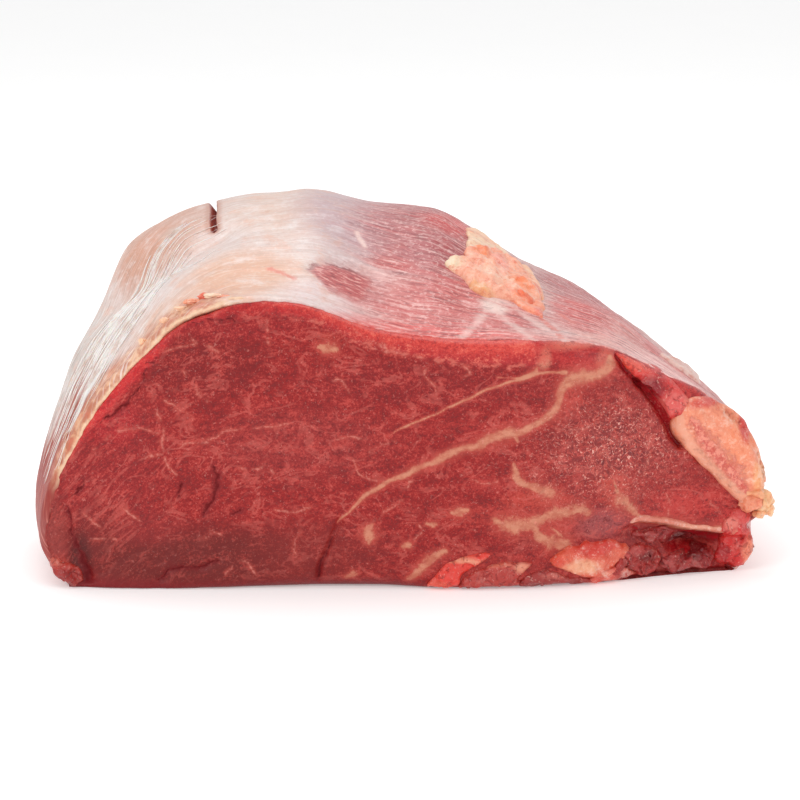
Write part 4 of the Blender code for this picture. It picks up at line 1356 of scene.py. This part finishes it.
pads = {
    "flapUpper": {
        "facing": "top", "thick": 1.5, "edge": 3.0, "rough": 0.5, "ragged": 0.7, "ground": (246, 206, 172),
        "outline": [(20.2, 6.4), (20.4, -1.2), (19.7, -8.8), (20.8, -12.1), (24.5, -8.1), (28.5, -3.3),
            (31.9, -0.4), (33.7, -1.5), (34.6, 5), (33, 12), (29, 16.5), (24, 17), (20.8, 13)],
        "stains": {"pink": ((29, -1), (5, 4), (248, 176, 148), 0.7),
            "top": ((24, 8), (6, 4), (240, 160, 130), 0.5)}},
    "flapMain": {
        "facing": "top", "thick": 2.4, "edge": 2.6, "rough": 2.1, "ragged": 1.1, "ground": (248, 176, 148),
        "outline": [(13.5, -25.9), (15.9, -21.9), (18.6, -20.1), (19.2, -14.2), (21.4, -9), (25.8, -3.6),
            (29.9, 1.6), (33.7, -0.6), (37.5, -4.4), (39.9, -12.2), (41.6, -23), (39.9, -28.9), (37, -36.2),
            (33.8, -35.9), (30.3, -35.7), (26.4, -37.3), (23.2, -37.5), (20.6, -35.5), (17.8, -31.1),
            (14.6, -28.3)],
        "stains": {"tip": ((15, -25), (4, 4.6), (244, 216, 184), 0.95),
            "lowEdge": ((22, -36.6), (6, 2.6), (238, 168, 118), 0.9),
            "orangeA": ((24, -12), (4, 4), (248, 142, 94), 0.9),
            "orangeB": ((36, -24), (4, 5), (248, 140, 92), 0.9),
            "orangeC": ((36, -33), (4, 3), (244, 116, 70), 0.95),
            "pinkLine": ((30, -14), (3, 9), (250, 168, 152), 0.7),
            "cream": ((27, -26), (6, 5), (252, 208, 184), 0.6)}},
    "flapRoll": {
        "facing": "top", "thick": 1.4, "edge": 2.2, "rough": 0.5, "ragged": 0.5, "ground": (250, 182, 146),
        "outline": [(35.4, -3), (35.6, 2), (37.6, 6), (40.2, 4), (41.6, -6), (42.4, -16), (42.2, -24),
            (39.6, -20), (37.2, -9)],
        "stains": {"red": ((40.4, -19), (2, 6), (226, 100, 84), 0.7),
            "top": ((38.4, 0), (3, 4), (250, 196, 158), 0.7)}},
    "flapTail": {
        "facing": "top", "thick": 1.2, "edge": 1.8, "rough": 0.6, "ragged": 0.7, "ground": (246, 150, 116),
        "outline": [(33.4, -35), (37.3, -34.6), (40.2, -27.6), (42.6, -29.3), (41.6, -37.6), (41.2, -43),
            (39.4, -42), (37.2, -40.6), (34.6, -38.6)],
        "stains": {"red": ((40.6, -40), (2, 4), (230, 108, 92), 0.7)}},
    "ridgeFat": {
        "facing": "top", "thick": 1.5, "edge": 2.2, "rough": 1.0, "ragged": 1.0, "ground": (228, 190, 180),
        "outline": [(77, -23), (80, -17), (84, -14), (88, -17), (89, -23), (86, -27), (82, -27), (79, -26)],
        "stains": {"grey": ((84, -19), (4, 4), (220, 176, 166), 0.6)}},
    "redLobe": {
        "red": True, "thick": 1.7, "edge": 2.0, "rough": 2.2, "ragged": 0.9, "lump": 3.2,
            "ground": (214, 52, 48),
        "outline": [(60.8, 66.4), (64.5, 65), (70.8, 61.8), (75.4, 59.2), (79.2, 56), (82.2, 53.2),
            (83.4, 50.6), (82, 48.4), (78.4, 46.6), (75.6, 49.2), (72.4, 54.3), (69, 57.2), (65.7, 60.2),
            (63.2, 64)],
        "stains": {"upper": ((71, 63.6), (13, 3), (228, 78, 58), 0.9),
            "wet": ((78, 51), (4.6, 4), (222, 96, 90), 0.8),
            "deep": ((71.4, 55.6), (5, 4.6), (146, 10, 26), 1),
            "tip": ((83, 51), (2, 3), (232, 128, 108), 0.6)}},
    "fatEnd": {
        "thick": 1.8, "edge": 2.8, "rough": 0.7, "ragged": 0.5, "ground": (238, 144, 110),
        "outline": [(81.4, 51.4), (85, 52.6), (89.9, 51), (94.8, 48), (98.6, 44.8), (101.6, 40.9),
            (103.9, 36.1), (105.4, 31.3), (106.3, 27.4), (105.8, 24), (103.2, 22.4), (100.4, 19.6),
            (97.6, 21.4), (94, 25), (89.6, 29.8), (84.6, 34.6), (80.6, 38.6), (77.8, 43), (78.6, 47.4)],
        "stains": {"outer": ((98, 40), (5, 8), (240, 142, 102), 0.8),
            "upperRed": ((90, 51), (9, 1.8), (212, 52, 50), 0.8),
            "edgeRed": ((100, 43), (2.2, 5), (212, 48, 48), 0.9),
            "yellow": ((104, 28), (2.4, 6), (240, 164, 108), 0.8)}},
    "creamLip": {
        "thick": 0.5, "edge": 1.2, "rough": 0.5, "ragged": 0.7, "ground": (214, 124, 104),
        "outline": [(66, 17.2), (69, 18.8), (76.9, 17.4), (84.2, 14.9), (90.1, 14), (95.4, 13.4),
            (98.4, 12.6), (98, 10.8), (95.4, 10.8), (90.1, 11.6), (84.2, 12.6), (76.9, 15.2), (69, 16.6)],
        "stains": {"pale": ((84, 14), (14, 1.4), (232, 156, 130), 0.7),
            "red": ((97, 13), (3, 3), (214, 76, 70), 0.8)}},
    "tipLobe": {
        "red": True, "thick": 1.0, "edge": 1.6, "rough": 1.0, "ragged": 0.7, "lump": 2.6,
            "ground": (206, 66, 62),
        "outline": [(93, 13), (95.6, 17.4), (99.6, 19.4), (101.6, 16.6), (100.6, 12.8), (98, 10.6),
            (94.6, 10.8)],
        "stains": {"pink": ((96, 14.6), (2.4, 2), (232, 134, 118), 0.7),
            "low": ((98.4, 11.6), (3, 1.4), (226, 150, 124), 0.6)}},
    "cornerFoot": {
        "red": True, "thick": 1.6, "edge": 2.2, "rough": 1.6, "ragged": 1.0, "lump": 2.8,
            "ground": (206, 38, 36),
        "outline": [(92.2, 6.4), (92.6, 9.6), (94.4, 12.6), (97.4, 13.4), (100.2, 13.6), (102.2, 11.6),
            (102.9, 8.2), (102.2, 4.6), (99.4, 1.6), (96, 0.8), (93, 2), (91.6, 3.8)],
        "stains": {"edge": ((101.8, 5), (2.4, 6), (236, 140, 112), 0.9),
            "wet": ((94, 5.3), (2.4, 3), (160, 14, 26), 0.7),
            "pink": ((98, 7), (2, 2), (214, 96, 88), 0.6)}},
    "orangePatch": {
        "thick": 1.5, "edge": 1.8, "rough": 1.7, "ragged": 1.4, "lump": 2.8, "ground": (222, 98, 72),
        "outline": [(42.6, 8), (44.6, 9.9), (47.4, 11.5), (50.8, 12.3), (54.3, 12.9), (58.4, 12.5),
            (62.6, 11), (66.5, 8.6), (63.4, 6.2), (60.4, 3.8), (56, 2.4), (50.3, 3.8), (45.7, 5.8)],
        "stains": {"red": ((56, 11.4), (9, 2.8), (206, 50, 38), 0.9),
            "left": ((44.6, 8.1), (2.4, 2.4), (216, 72, 52), 0.8),
            "cream": ((52, 6), (6, 2.4), (238, 172, 136), 0.9),
            "right": ((63, 8), (4, 2), (220, 104, 80), 0.6)}},
    "sliver": {
        "red": True, "thick": 1.4, "edge": 1.3, "rough": 1.8, "ragged": 0.8, "lump": 2.4,
            "ground": (226, 64, 52),
        "outline": [(7.9, 0.3), (8.9, 2.7), (10.3, 4.4), (12.5, 6.9), (16.5, 8.9), (20.5, 10.1),
            (24.5, 10.6), (26.2, 10.2), (22.8, 7.8), (19.6, 5.4), (17.4, 3.2), (16.4, 0.6), (12, 0.2)],
        "stains": {"creamEdge": ((16, 8.8), (9, 1.1), (236, 158, 128), 0.85),
            "foot": ((11, 1.4), (4, 2), (222, 88, 66), 0.7)}},
    "leafLow": {
        "red": True, "thick": 1.0, "edge": 1.3, "rough": 1.1, "ragged": 0.8, "lump": 2.8,
            "ground": (180, 56, 48),
        "outline": [(17, 0.3), (17.6, 2.2), (19.6, 4.4), (23.4, 6.6), (28.5, 7.7), (34.2, 8.3), (37.2, 8),
            (35.6, 5.6), (33.4, 3.2), (34.4, 0.5), (26, 0.2)],
        "stains": {"fatLine": ((35, 6.4), (2.6, 1.6), (230, 150, 122), 0.85),
            "edge": ((26, 7.2), (8, 0.8), (226, 124, 100), 0.6)}},
    "lowStrip": {
        "red": True, "thick": 0.9, "edge": 1.2, "rough": 1.2, "ragged": 1.0, "lump": 2.6,
            "ground": (160, 48, 44),
        "outline": [(34, 0.3), (34.6, 2.8), (38, 4.6), (42, 5), (46, 3.9), (50, 2.6), (55, 1.6), (54, 0.3),
            (44, 0.2)],
        "stains": {"pale": ((44, 3.6), (4, 1), (210, 110, 96), 0.6)}},
    "raggedInner": {
        "red": True, "thick": 1.3, "edge": 1.3, "rough": 2.9, "ragged": 1.5, "lump": 2.0,
            "ground": (172, 44, 40),
        "outline": [(60.6, 3.4), (62, 6.2), (64.9, 9.7), (69.1, 10.8), (72.7, 9.2), (75.4, 6.3), (75.6, 3),
            (71.6, 0.9), (66, 0.5), (61.6, 0.9)],
        "stains": {"pale": ((66, 8.6), (3, 2), (186, 72, 68), 0.7),
            "dark": ((71, 6.8), (3, 2), (98, 18, 24), 0.7)}},
    "flapsLow": {
        "thick": 1.2, "edge": 1.1, "rough": 1.3, "ragged": 1.0, "lump": 2.6, "ground": (214, 88, 72),
        "outline": [(54.4, 0.9), (54.6, 3), (58.5, 4.3), (63.2, 5.2), (67, 3.2), (68, 0.9), (62, 0.3),
            (57, 0.3)],
        "stains": {"pale": ((58, 3.4), (3, 1.2), (236, 150, 124), 0.7),
            "dark": ((64, 1.8), (3, 1.4), (166, 50, 46), 0.7)}},
    "raggedOuter": {
        "red": True, "thick": 1.4, "edge": 1.3, "rough": 2.9, "ragged": 1.5, "lump": 2.0,
            "ground": (160, 38, 38),
        "outline": [(75, 2.2), (76.4, 5.2), (79.4, 7), (83.4, 6.8), (87.6, 7.9), (90.8, 7.2), (91.8, 4.4),
            (88.8, 2), (83.9, 1.3), (79.8, 1.1)],
        "stains": {"pale": ((79, 4.4), (2.4, 1.6), (186, 74, 70), 0.7),
            "dark": ((86, 6), (4, 2), (112, 8, 18), 0.9), "red": ((84, 3), (3, 1.6), (180, 56, 54), 0.6)}},
    "scabLumps": {
        "red": True, "thick": 1.0, "edge": 1.2, "rough": 2.4, "ragged": 1.4, "lump": 1.9,
            "ground": (158, 38, 38),
        "outline": [(67, 12.4), (69.2, 14.3), (75.1, 14.8), (80, 13), (84.7, 11), (85.6, 9.4), (82.8, 8.9),
            (77.6, 9), (73.9, 9.9), (70, 11)],
        "stains": {"pink": ((72, 12.8), (3, 2), (170, 66, 62), 0.6),
            "dark": ((81, 10.4), (4, 1.4), (92, 22, 28), 0.8)}},
    "leftFootLobe": {
        "red": True, "thick": 1.0, "edge": 1.6, "rough": 2.4, "ragged": 1.5, "lump": 2.4,
            "ground": (176, 44, 34),
        "outline": [(-97, 0.6), (-99.4, 3.4), (-101, 6.4), (-100.2, 8.2), (-97, 8.6), (-93.6, 7.4),
            (-91, 4.4), (-90, 1), (-93, 0.4)],
        "stains": {"pale": ((-98.5, 7.2), (2.4, 1.2), (206, 96, 76), 0.6),
            "red": ((-95, 3), (4, 3), (146, 22, 22), 0.7)}},
}
pads["fatEnd"]["seams"] = {
    "innerRim": [(80, 47.4, 1), (80.4, 44.4, 1.5), (83.4, 38.6, 1.6), (87.4, 34.2, 1.5), (91.8, 29.8, 1.4),
                 (96.2, 25.2, 1.5), (100.4, 21.4, 1.4)]}
pads["fatEnd"]["core"] = {"middle": [(83.4, 46.4, 0.8), (85.4, 43.6, 2), (88.4, 38.6, 2.9), (92, 34.4, 3.2),
                                     (95.6, 30.4, 3), (98.8, 26.4, 2), (101, 23.4, 0.7)]}

# Rough little lumps of fat: centre (x, y, z), radii, colour
knobs = {
    "fatKnob": {
        "tip": ((105.6, -49.6, 20.4), (2.9, 3.2, 2.8), (244, 186, 138)),
        "tipUpper": ((102.8, -50.2, 23.2), (2.8, 3, 2.4), (242, 166, 122)),
        "tipEnd": ((107.2, -49.2, 18), (1.8, 2.2, 1.9), (246, 196, 150)),
        "drop": ((104.4, -50, 17.4), (1.9, 2.2, 1.5), (240, 176, 130)),
        "root": ((101.4, -50.8, 20.2), (3, 3, 2.4), (236, 146, 112)),
    },
    "rimCurls": {
        "a": ((-62, -62.4, 79.9), (2.2, 1, 0.6), (240, 190, 154)),
        "b": ((-58.8, -61.2, 81.7), (2.6, 1.2, 0.8), (240, 158, 126)),
        "c": ((-55.6, -60.4, 82.9), (1.6, 1, 0.9), (232, 112, 86)),
        "d": ((-52.6, -61.4, 83.3), (2.8, 1, 0.7), (250, 214, 186)),
        "e": ((-49.4, -63.4, 83.4), (2, 1, 0.6), (236, 150, 120)),
        "f": ((-46, -65.8, 83.3), (2.8, 0.8, 0.5), (240, 196, 164)),
        "g": ((-66.4, -63.6, 76.6), (1.3, 0.8, 0.9), (246, 188, 150)),
        "h": ((-72.6, -64.4, 70.4), (1.1, 0.9, 1.3), (248, 200, 162)),
    },
}

def treeOf(points, faces):
    return BVHTree.FromPolygons([tuple(p) for p in points], [tuple(f) for f in faces])


skinFacesOn = [tuple(c + len(meatShape) for c in f) for f in skinFaces]
blockTree = treeOf(np.vstack([meatShape, skinShape]), meatFaces + skinFacesOn)

# The way towards the viewer, from how far a cast starts, the axes seen, and the one that isn't
castWays = {
    "front": {"way": np.array([0, -1.0, 0]), "from": 150, "axes": [0, 2], "depth": 1},
    "top": {"way": np.array([0, 0, 1.0]), "from": 200, "axes": [0, 1], "depth": 2},
}
padMesh = {
    "spacing": 0.5,
    "sink": 1.2,         # how far a pad reaches into the block
    "lump": 4.0,         # the size of a pad's lumps, where it gives none
    "nearShare": 12,     # how much of a pad counts as near, in per cent
    "nearMargin": 4.0,   # and how far behind that the rest may lie
}


def closedCurve(outline, spacing):
    corners = np.array(outline + outline[:1], float)
    length = np.linalg.norm(np.diff(corners, axis=0), axis=1).sum()
    return curveThrough(outline, max(12, int(length * 1.05 / spacing)), closed=True)


def castOn(flat, cast):
    # the points of the block that lie behind flat points, as seen from the front or the top
    way = cast["way"]
    found = np.zeros((len(flat), 3))
    found[:, cast["axes"]] = flat
    missing = []
    for i, point in enumerate(found):
        hit = blockTree.ray_cast(Vector(point + way * cast["from"]), Vector(-way))[0]
        if hit is None:
            missing.append(i)
        else:
            found[i] = hit
    hits = np.setdiff1d(np.arange(len(flat)), missing)
    for i in missing:
        nearest = hits[np.argmin(np.linalg.norm(flat[hits] - flat[i], axis=1))]
        found[i, cast["depth"]] = found[nearest, cast["depth"]]
    # what passes just over the block's edge hits far behind, and is brought forward
    near = found @ way
    least = np.percentile(near, padMesh["nearShare"]) - padMesh["nearMargin"]
    return found + np.maximum(least - near, 0)[:, None] * way


def padValues(pad, flat, base, seed):
    # a pad's seams and core, where it has them, for its top and its underside
    bent = flat + 0.35 * noisePush(base, 2, 2.0, seed + 40, 1, 2)
    levels = {"seamLevel": seamLevel(bent, pad.get("seams", {})),
              "coreLevel": seamLevel(bent, pad.get("core", {}))}
    return {key: np.tile(level, 2) for key, level in levels.items()}


def padShape(name, seed):
    pad = pads[name]
    cast = castWays[pad.get("facing", "front")]
    way = cast["way"]
    outline = closedCurve(pad["outline"], padMesh["spacing"])
    strip = np.column_stack([outline, 0 * outline[:, 0]])
    outline = outline + pad["ragged"] * noisePush(strip, 2, 3.4, seed, 3, 2) * 0.6
    flat, triangles = fillOutline(outline, evenPoints(outline, padMesh["spacing"], 0.6))
    base = castOn(flat, cast)
    inward = np.clip(distanceToLine(flat, np.vstack([outline, outline[:1]])) / pad["edge"], 0, 1)
    dome = np.sqrt(1 - (1 - inward) ** 2)
    lump = pad.get("lump", padMesh["lump"])
    lumps = 0.45 * roughNoise(base, lump, seed + 11, 3) + 0.42 * np.abs(softNoise(base, 0.5 * lump,
                                                                                  seed + 17))
    height = dome * (pad["thick"] + pad["rough"] * (lumps - 0.1))
    slip = 0.35 * pad["rough"] * noisePush(base, 3, 2.2, seed + 20, 1, 1) * dome[:, None]
    top = aboveTable(base + way * np.maximum(height, 0.0)[:, None] + slip * (1 - np.abs(way)))
    under = aboveTable(base - way * padMesh["sink"])

    count, edge = len(flat), len(outline)
    faces = [tuple(t) for t in triangles] + [tuple(c + count for c in reversed(t)) for t in triangles]
    for i in range(edge):
        j = (i + 1) % edge
        faces.append((j, i, i + count, j + count))
    stained = np.column_stack([flat, 0 * inward])
    tints = paintStains(stained, pad["ground"], planeStains(pad["stains"], 2), 0.12, seed + 31)
    return np.vstack([top, under]), faces, padValues(pad, flat, base, seed), np.vstack([tints, tints])


def lumpShape(centre, radii, seed):
    bm = bmesh.new()
    bmesh.ops.create_icosphere(bm, subdivisions=4, radius=1)
    points = np.array([tuple(v.co) for v in bm.verts])
    faces = [tuple(v.index for v in f.verts) for f in bm.faces]
    bm.free()
    swell = 1 + 0.34 * roughNoise(points * 4, 3.0, seed, 3)
    return np.array(centre) + points * swell[:, None] * np.array(radii), faces


def fatPaint(name, lift, gloss, cracked):
    paint = Paint(name, {
        "Specular IOR Level": 0.42, "Coat Roughness": 0.2, "Subsurface Weight": 0.14,
        "Subsurface Radius": (1.0, 0.45, 0.3), "Subsurface Scale": 0.002})
    noise, value, blend = paint.noise, paint.value, paint.blend
    colour = paint.tint()
    clumps = noise(4.2, 3.0, 0.55)
    patches = noise(1.8, 3.0, 0.6)
    grain = noise(0.8, 4.0, 0.72)
    tone = (clumps - 0.5) * 1.5 + (patches - 0.5) * 1.2 + (grain - 0.5) * 1.5
    deeper = blend(colour, (0.82, 0.44, 0.38), 1.0, "MULTIPLY")
    colour = paint.layers(colour, [
        (deeper, tone.step(0.0, 0.50) * 0.75),
        ((1.0, 0.84, 0.72), tone.step(0.0, -0.46) * lift)])
    core = value("coreLevel") + (noise(1.8, 4.0, 0.65) - 0.5) * 3.4
    coreHue = blend(srgb(200, 58, 54), srgb(238, 146, 126), (patches * 0.6 + grain * 0.4).step(0.42, 0.58))
    colour = blend(colour, coreHue, core.step(-0.4, 0.8) * 0.85)
    rim = value("seamLevel") + (patches - 0.5) * 1.2
    colour = blend(colour, srgb(236, 166, 138), rim.step(-0.4, 0.5) * 0.8)
    # dark red cracks over the trim: painted shade in them, and they dip in the bump
    folds = noise(4.6, 2.0, 0.5, paint.warped(2.4, 1.2), 0.6) - 0.5
    crack = (folds * folds).step(0.0012, 0.0) * patches.step(0.46, 0.56) * cracked
    colour = blend(colour, srgb(140, 8, 20), crack * 0.8)
    height = clumps * 0.4 + patches * 0.5 + grain * 0.3 + core.step(-0.2, 0.7) * patches * 1.0 - crack * 0.8
    # painted glints: small pale highlights
    glint = noise(0.8, 3.0, 0.6, paint.warped(1.6, 0.8), 0.7).step(0.60, 0.68)
    colour = blend(colour, srgb(250, 206, 190), glint * 0.35)
    return paint.finish(colour, 0.38 + (patches - 0.5) * 0.3, height, 0.5, gloss)


fatMaterial = fatPaint("softFat", 0.30, 0.28, 0.0)
redMaterial = fatPaint("redTrim", 0.07, 0.18, 0.6)
for number, name in enumerate(pads):
    shape, faces, values, tints = padShape(name, 200 + 7 * number)
    makePiece(name, shape, faces, redMaterial if "red" in pads[name] else fatMaterial, values, tints)
for group, (name, knobLumps) in enumerate(knobs.items()):
    shapes, faces, hueRows = [], [], []
    for number, (centre, radii, hue) in enumerate(knobLumps.values()):
        shape, own = lumpShape(centre, radii, 300 + 20 * group + number)
        first = sum(len(p) for p in shapes)
        shapes.append(shape)
        faces += [tuple(c + first for c in f) for f in own]
        hueRows.append(np.tile(hueOf(hue), (len(shape), 1)))
    shape = np.vstack(shapes)
    blank = np.full(len(shape), noSeam)
    makePiece(name, shape, faces, fatMaterial, {"seamLevel": blank, "coreLevel": blank}, np.vstack(hueRows))
print("fat and trim laid on")


# White strands of silverskin that stand a little off the left flank. Geometry Nodes turns the
# lines into thin tubes.
strands = {
    "count": 90, "from": (30, 74), "length": (12, 46), "shift": (-13, 26),
    "halfWidth": (0.07, 0.19), "lift": 0.16, "spacing": 0.9, "sides": 6, "hue": srgb(246, 240, 236),
    "runs": (1.6, 70), "fewest": 8,   # where on the flank they may run, and their least points
}


def strandLines():
    chance = np.random.default_rng(23)
    points, edges, widths = [], [], []
    for _ in range(strands["count"]):
        first, reach = chance.uniform(*strands["from"]), chance.uniform(*strands["length"])
        around = np.arange(first, first + reach, strands["spacing"])
        strip = np.column_stack([around, np.full((len(around), 2), chance.uniform(0, 900))])
        shift = chance.uniform(*strands["shift"])
        run = shift + fromTable(fibreDrift, around) + 0.8 * softNoise(strip, 14.0,
                                                                      51) + 0.3 * softNoise(strip, 4.0, 52)
        keep = (run > strands["runs"][0]) & (run < strands["runs"][1])
        if keep.sum() < strands["fewest"]:
            continue
        path = skinPlace(around[keep], run[keep])
        share = np.linspace(0, 1, len(path))
        lift = strands["lift"] * (0.4 + softNoise(strip[keep], 6.0, 53))
        for i, point in enumerate(path):
            place, normal, _, _ = skinTree.find_nearest(Vector(point))
            path[i] = np.array(place) + lift[i] * np.array(normal)
        start = sum(len(p) for p in points)
        points.append(path)
        edges += [(start + i, start + i + 1) for i in range(len(path) - 1)]
        taper = np.sqrt(np.sin(math.pi * (0.02 + 0.96 * share)))
        widths.append(chance.uniform(*strands["halfWidth"]) * taper)
    return np.vstack(points), edges, np.concatenate(widths)


def tubeNodes():
    # lines with a "halfWidth" on each point become closed tubes
    group = bpy.data.node_groups.new("strandTubes", "GeometryNodeTree")
    face = group.interface
    face.new_socket("Lines", in_out="INPUT", socket_type="NodeSocketGeometry")
    inputs = {name: face.new_socket(name, in_out="INPUT", socket_type="NodeSocket" + kind).identifier
              for name, kind in (("Sides", "Int"), ("Unit", "Float"), ("Material", "Material"))}
    face.new_socket("Tubes", in_out="OUTPUT", socket_type="NodeSocketGeometry")

    def node(kind, **links):
        made = group.nodes.new(kind)
        for key, source in links.items():
            group.links.new(source, made.inputs[key.replace("_", " ")])
        return made

    given = node("NodeGroupInput").outputs
    lines = node("GeometryNodeMeshToCurve", Mesh=given["Lines"])
    width = node("GeometryNodeInputNamedAttribute")
    width.data_type = "FLOAT"
    width.inputs["Name"].default_value = "halfWidth"
    size = node("ShaderNodeMath")
    size.operation = "MULTIPLY"
    group.links.new(width.outputs["Attribute"], size.inputs[0])
    group.links.new(given["Unit"], size.inputs[1])
    sized = node("GeometryNodeSetCurveRadius", Curve=lines.outputs["Curve"], Radius=size.outputs[0])
    ring = node("GeometryNodeCurvePrimitiveCircle", Resolution=given["Sides"])
    ring.inputs["Radius"].default_value = 1.0
    tubes = node("GeometryNodeCurveToMesh", Curve=sized.outputs["Curve"],
                 Profile_Curve=ring.outputs["Curve"])
    tubes.inputs["Fill Caps"].default_value = True
    if "Scale" in tubes.inputs:
        group.links.new(size.outputs[0], tubes.inputs["Scale"])
    whole = node("GeometryNodeRealizeInstances", Geometry=tubes.outputs["Mesh"])
    painted = node("GeometryNodeSetMaterial", Geometry=whole.outputs["Geometry"], Material=given["Material"])
    node("NodeGroupOutput", Tubes=painted.outputs["Geometry"])
    return group, inputs


def makeStrands():
    paint = Paint("silverStrand", {"Specular IOR Level": 0.45, "Subsurface Weight": 0.1,
                                   "Subsurface Scale": 0.001})
    cloud = paint.noise(5.0, 3.0, 0.6)
    colour = paint.blend(strands["hue"], srgb(222, 196, 184), cloud.step(0.48, 0.66) * 0.8)
    material = paint.finish(colour, cloud * 0.2 + 0.3, cloud, 0.1, 0.2)
    points, edges, widths = strandLines()
    mesh = bpy.data.meshes.new("strandLines")
    mesh.from_pydata([tuple(p) for p in (points + frameShift) * mm], edges, [])
    addValues(mesh, {"halfWidth": widths})
    lines = addObject("strandLines", mesh)
    group, inputs = tubeNodes()
    maker = lines.modifiers.new("tubes", "NODES")
    maker.node_group = group
    maker[inputs["Sides"]] = strands["sides"]
    maker[inputs["Unit"]] = mm
    maker[inputs["Material"]] = material
    made = bpy.data.meshes.new_from_object(lines.evaluated_get(bpy.context.evaluated_depsgraph_get()))
    bpy.data.objects.remove(lines)
    made.shade_smooth()
    addObject("flankStrands", made)
    return len(made.polygons)


skinTree = treeOf(skinShape, skinFaces)
print("strands", makeStrands(), "faces")


# Floor, light and camera

studio = {
    "floorHalf": 2.5, "floorColour": (0.90, 0.90, 0.90),
    "cameraRise": 12.0, "cameraDistance": 1.0, "lens": 148.05,
    "target": (0.0, 0.0, 40.1),
    "litPlace": (0, 0, 0.04),   # what the lamps point at, in metres
    "worldStrength": 0.72,
}
lights = {   # place in metres, size, power, colour
    "above": ((-0.15, 0.30, 0.95), (0.9, 0.7), 3.2, (1.0, 0.99, 0.98)),
    "left": ((-0.70, -0.80, 0.60), (0.6, 0.5), 3.0, (1.0, 0.99, 0.98)),
    "right": ((0.80, -0.65, 0.45), (0.6, 0.5), 1.6, (1.0, 1.0, 1.0)),
}


def floorPaint():
    paint = Paint("paleFloor", {"Specular IOR Level": 0.1, "Emission Color": (1.0, 1.0, 1.0, 1.0),
                                "Emission Strength": 0.27})
    cloud = paint.noise(60.0, 2.0)
    return paint.finish(paint.blend(studio["floorColour"], (0.92, 0.92, 0.92), cloud), cloud * 0.1 + 0.6,
                        cloud, 0.01)


half = studio["floorHalf"]
floorMesh = bpy.data.meshes.new("floor")
floorMesh.from_pydata([(-half, -half, 0), (half, -half, 0), (half, half, 0), (-half, half, 0)], [],
                      [(0, 1, 2, 3)])
floorMesh.materials.append(floorPaint())
floor = addObject("floor", floorMesh)

world = bpy.data.worlds.new("studio")
world.use_nodes = True
sky = world.node_tree.nodes["Background"].inputs
sky["Color"].default_value = (1.0, 1.0, 1.0, 1.0)
sky["Strength"].default_value = studio["worldStrength"]
bpy.context.scene.world = world

for name, (place, size, power, colour) in lights.items():
    lamp = bpy.data.lights.new(name, "AREA")
    lamp.shape, lamp.size, lamp.size_y = "RECTANGLE", size[0], size[1]
    lamp.energy, lamp.color = power, colour
    lampObject = addObject(name, lamp)
    lampObject.location = place
    lampObject.rotation_euler = (Vector(studio["litPlace"]) - Vector(place)).to_track_quat("-Z",
                                                                                           "Y").to_euler()

camera = addObject("camera", bpy.data.cameras.new("camera"))
camera.data.lens, camera.data.sensor_width = studio["lens"], 36.0
rise = math.radians(studio["cameraRise"])
target = (np.array(studio["target"]) + frameShift * (1, 1, 0)) * mm
camera.location = Vector(target) + Vector((0, -math.cos(rise), math.sin(rise))) * studio["cameraDistance"]
camera.rotation_euler = (0.5 * math.pi - rise, 0, 0)
camera.data.clip_start, camera.data.clip_end = 0.01, 20
bpy.context.scene.camera = camera
bpy.context.scene.view_settings.view_transform = "Standard"

others = (floor, *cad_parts.values())
beefPieces = [o for o in bpy.context.scene.objects if o.type == "MESH" and o not in others]
for piece in beefPieces:
    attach(piece, "root")
    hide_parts("beef_joint")
print(len(beefPieces), "pieces", sum(len(o.data.polygons) for o in beefPieces), "faces")
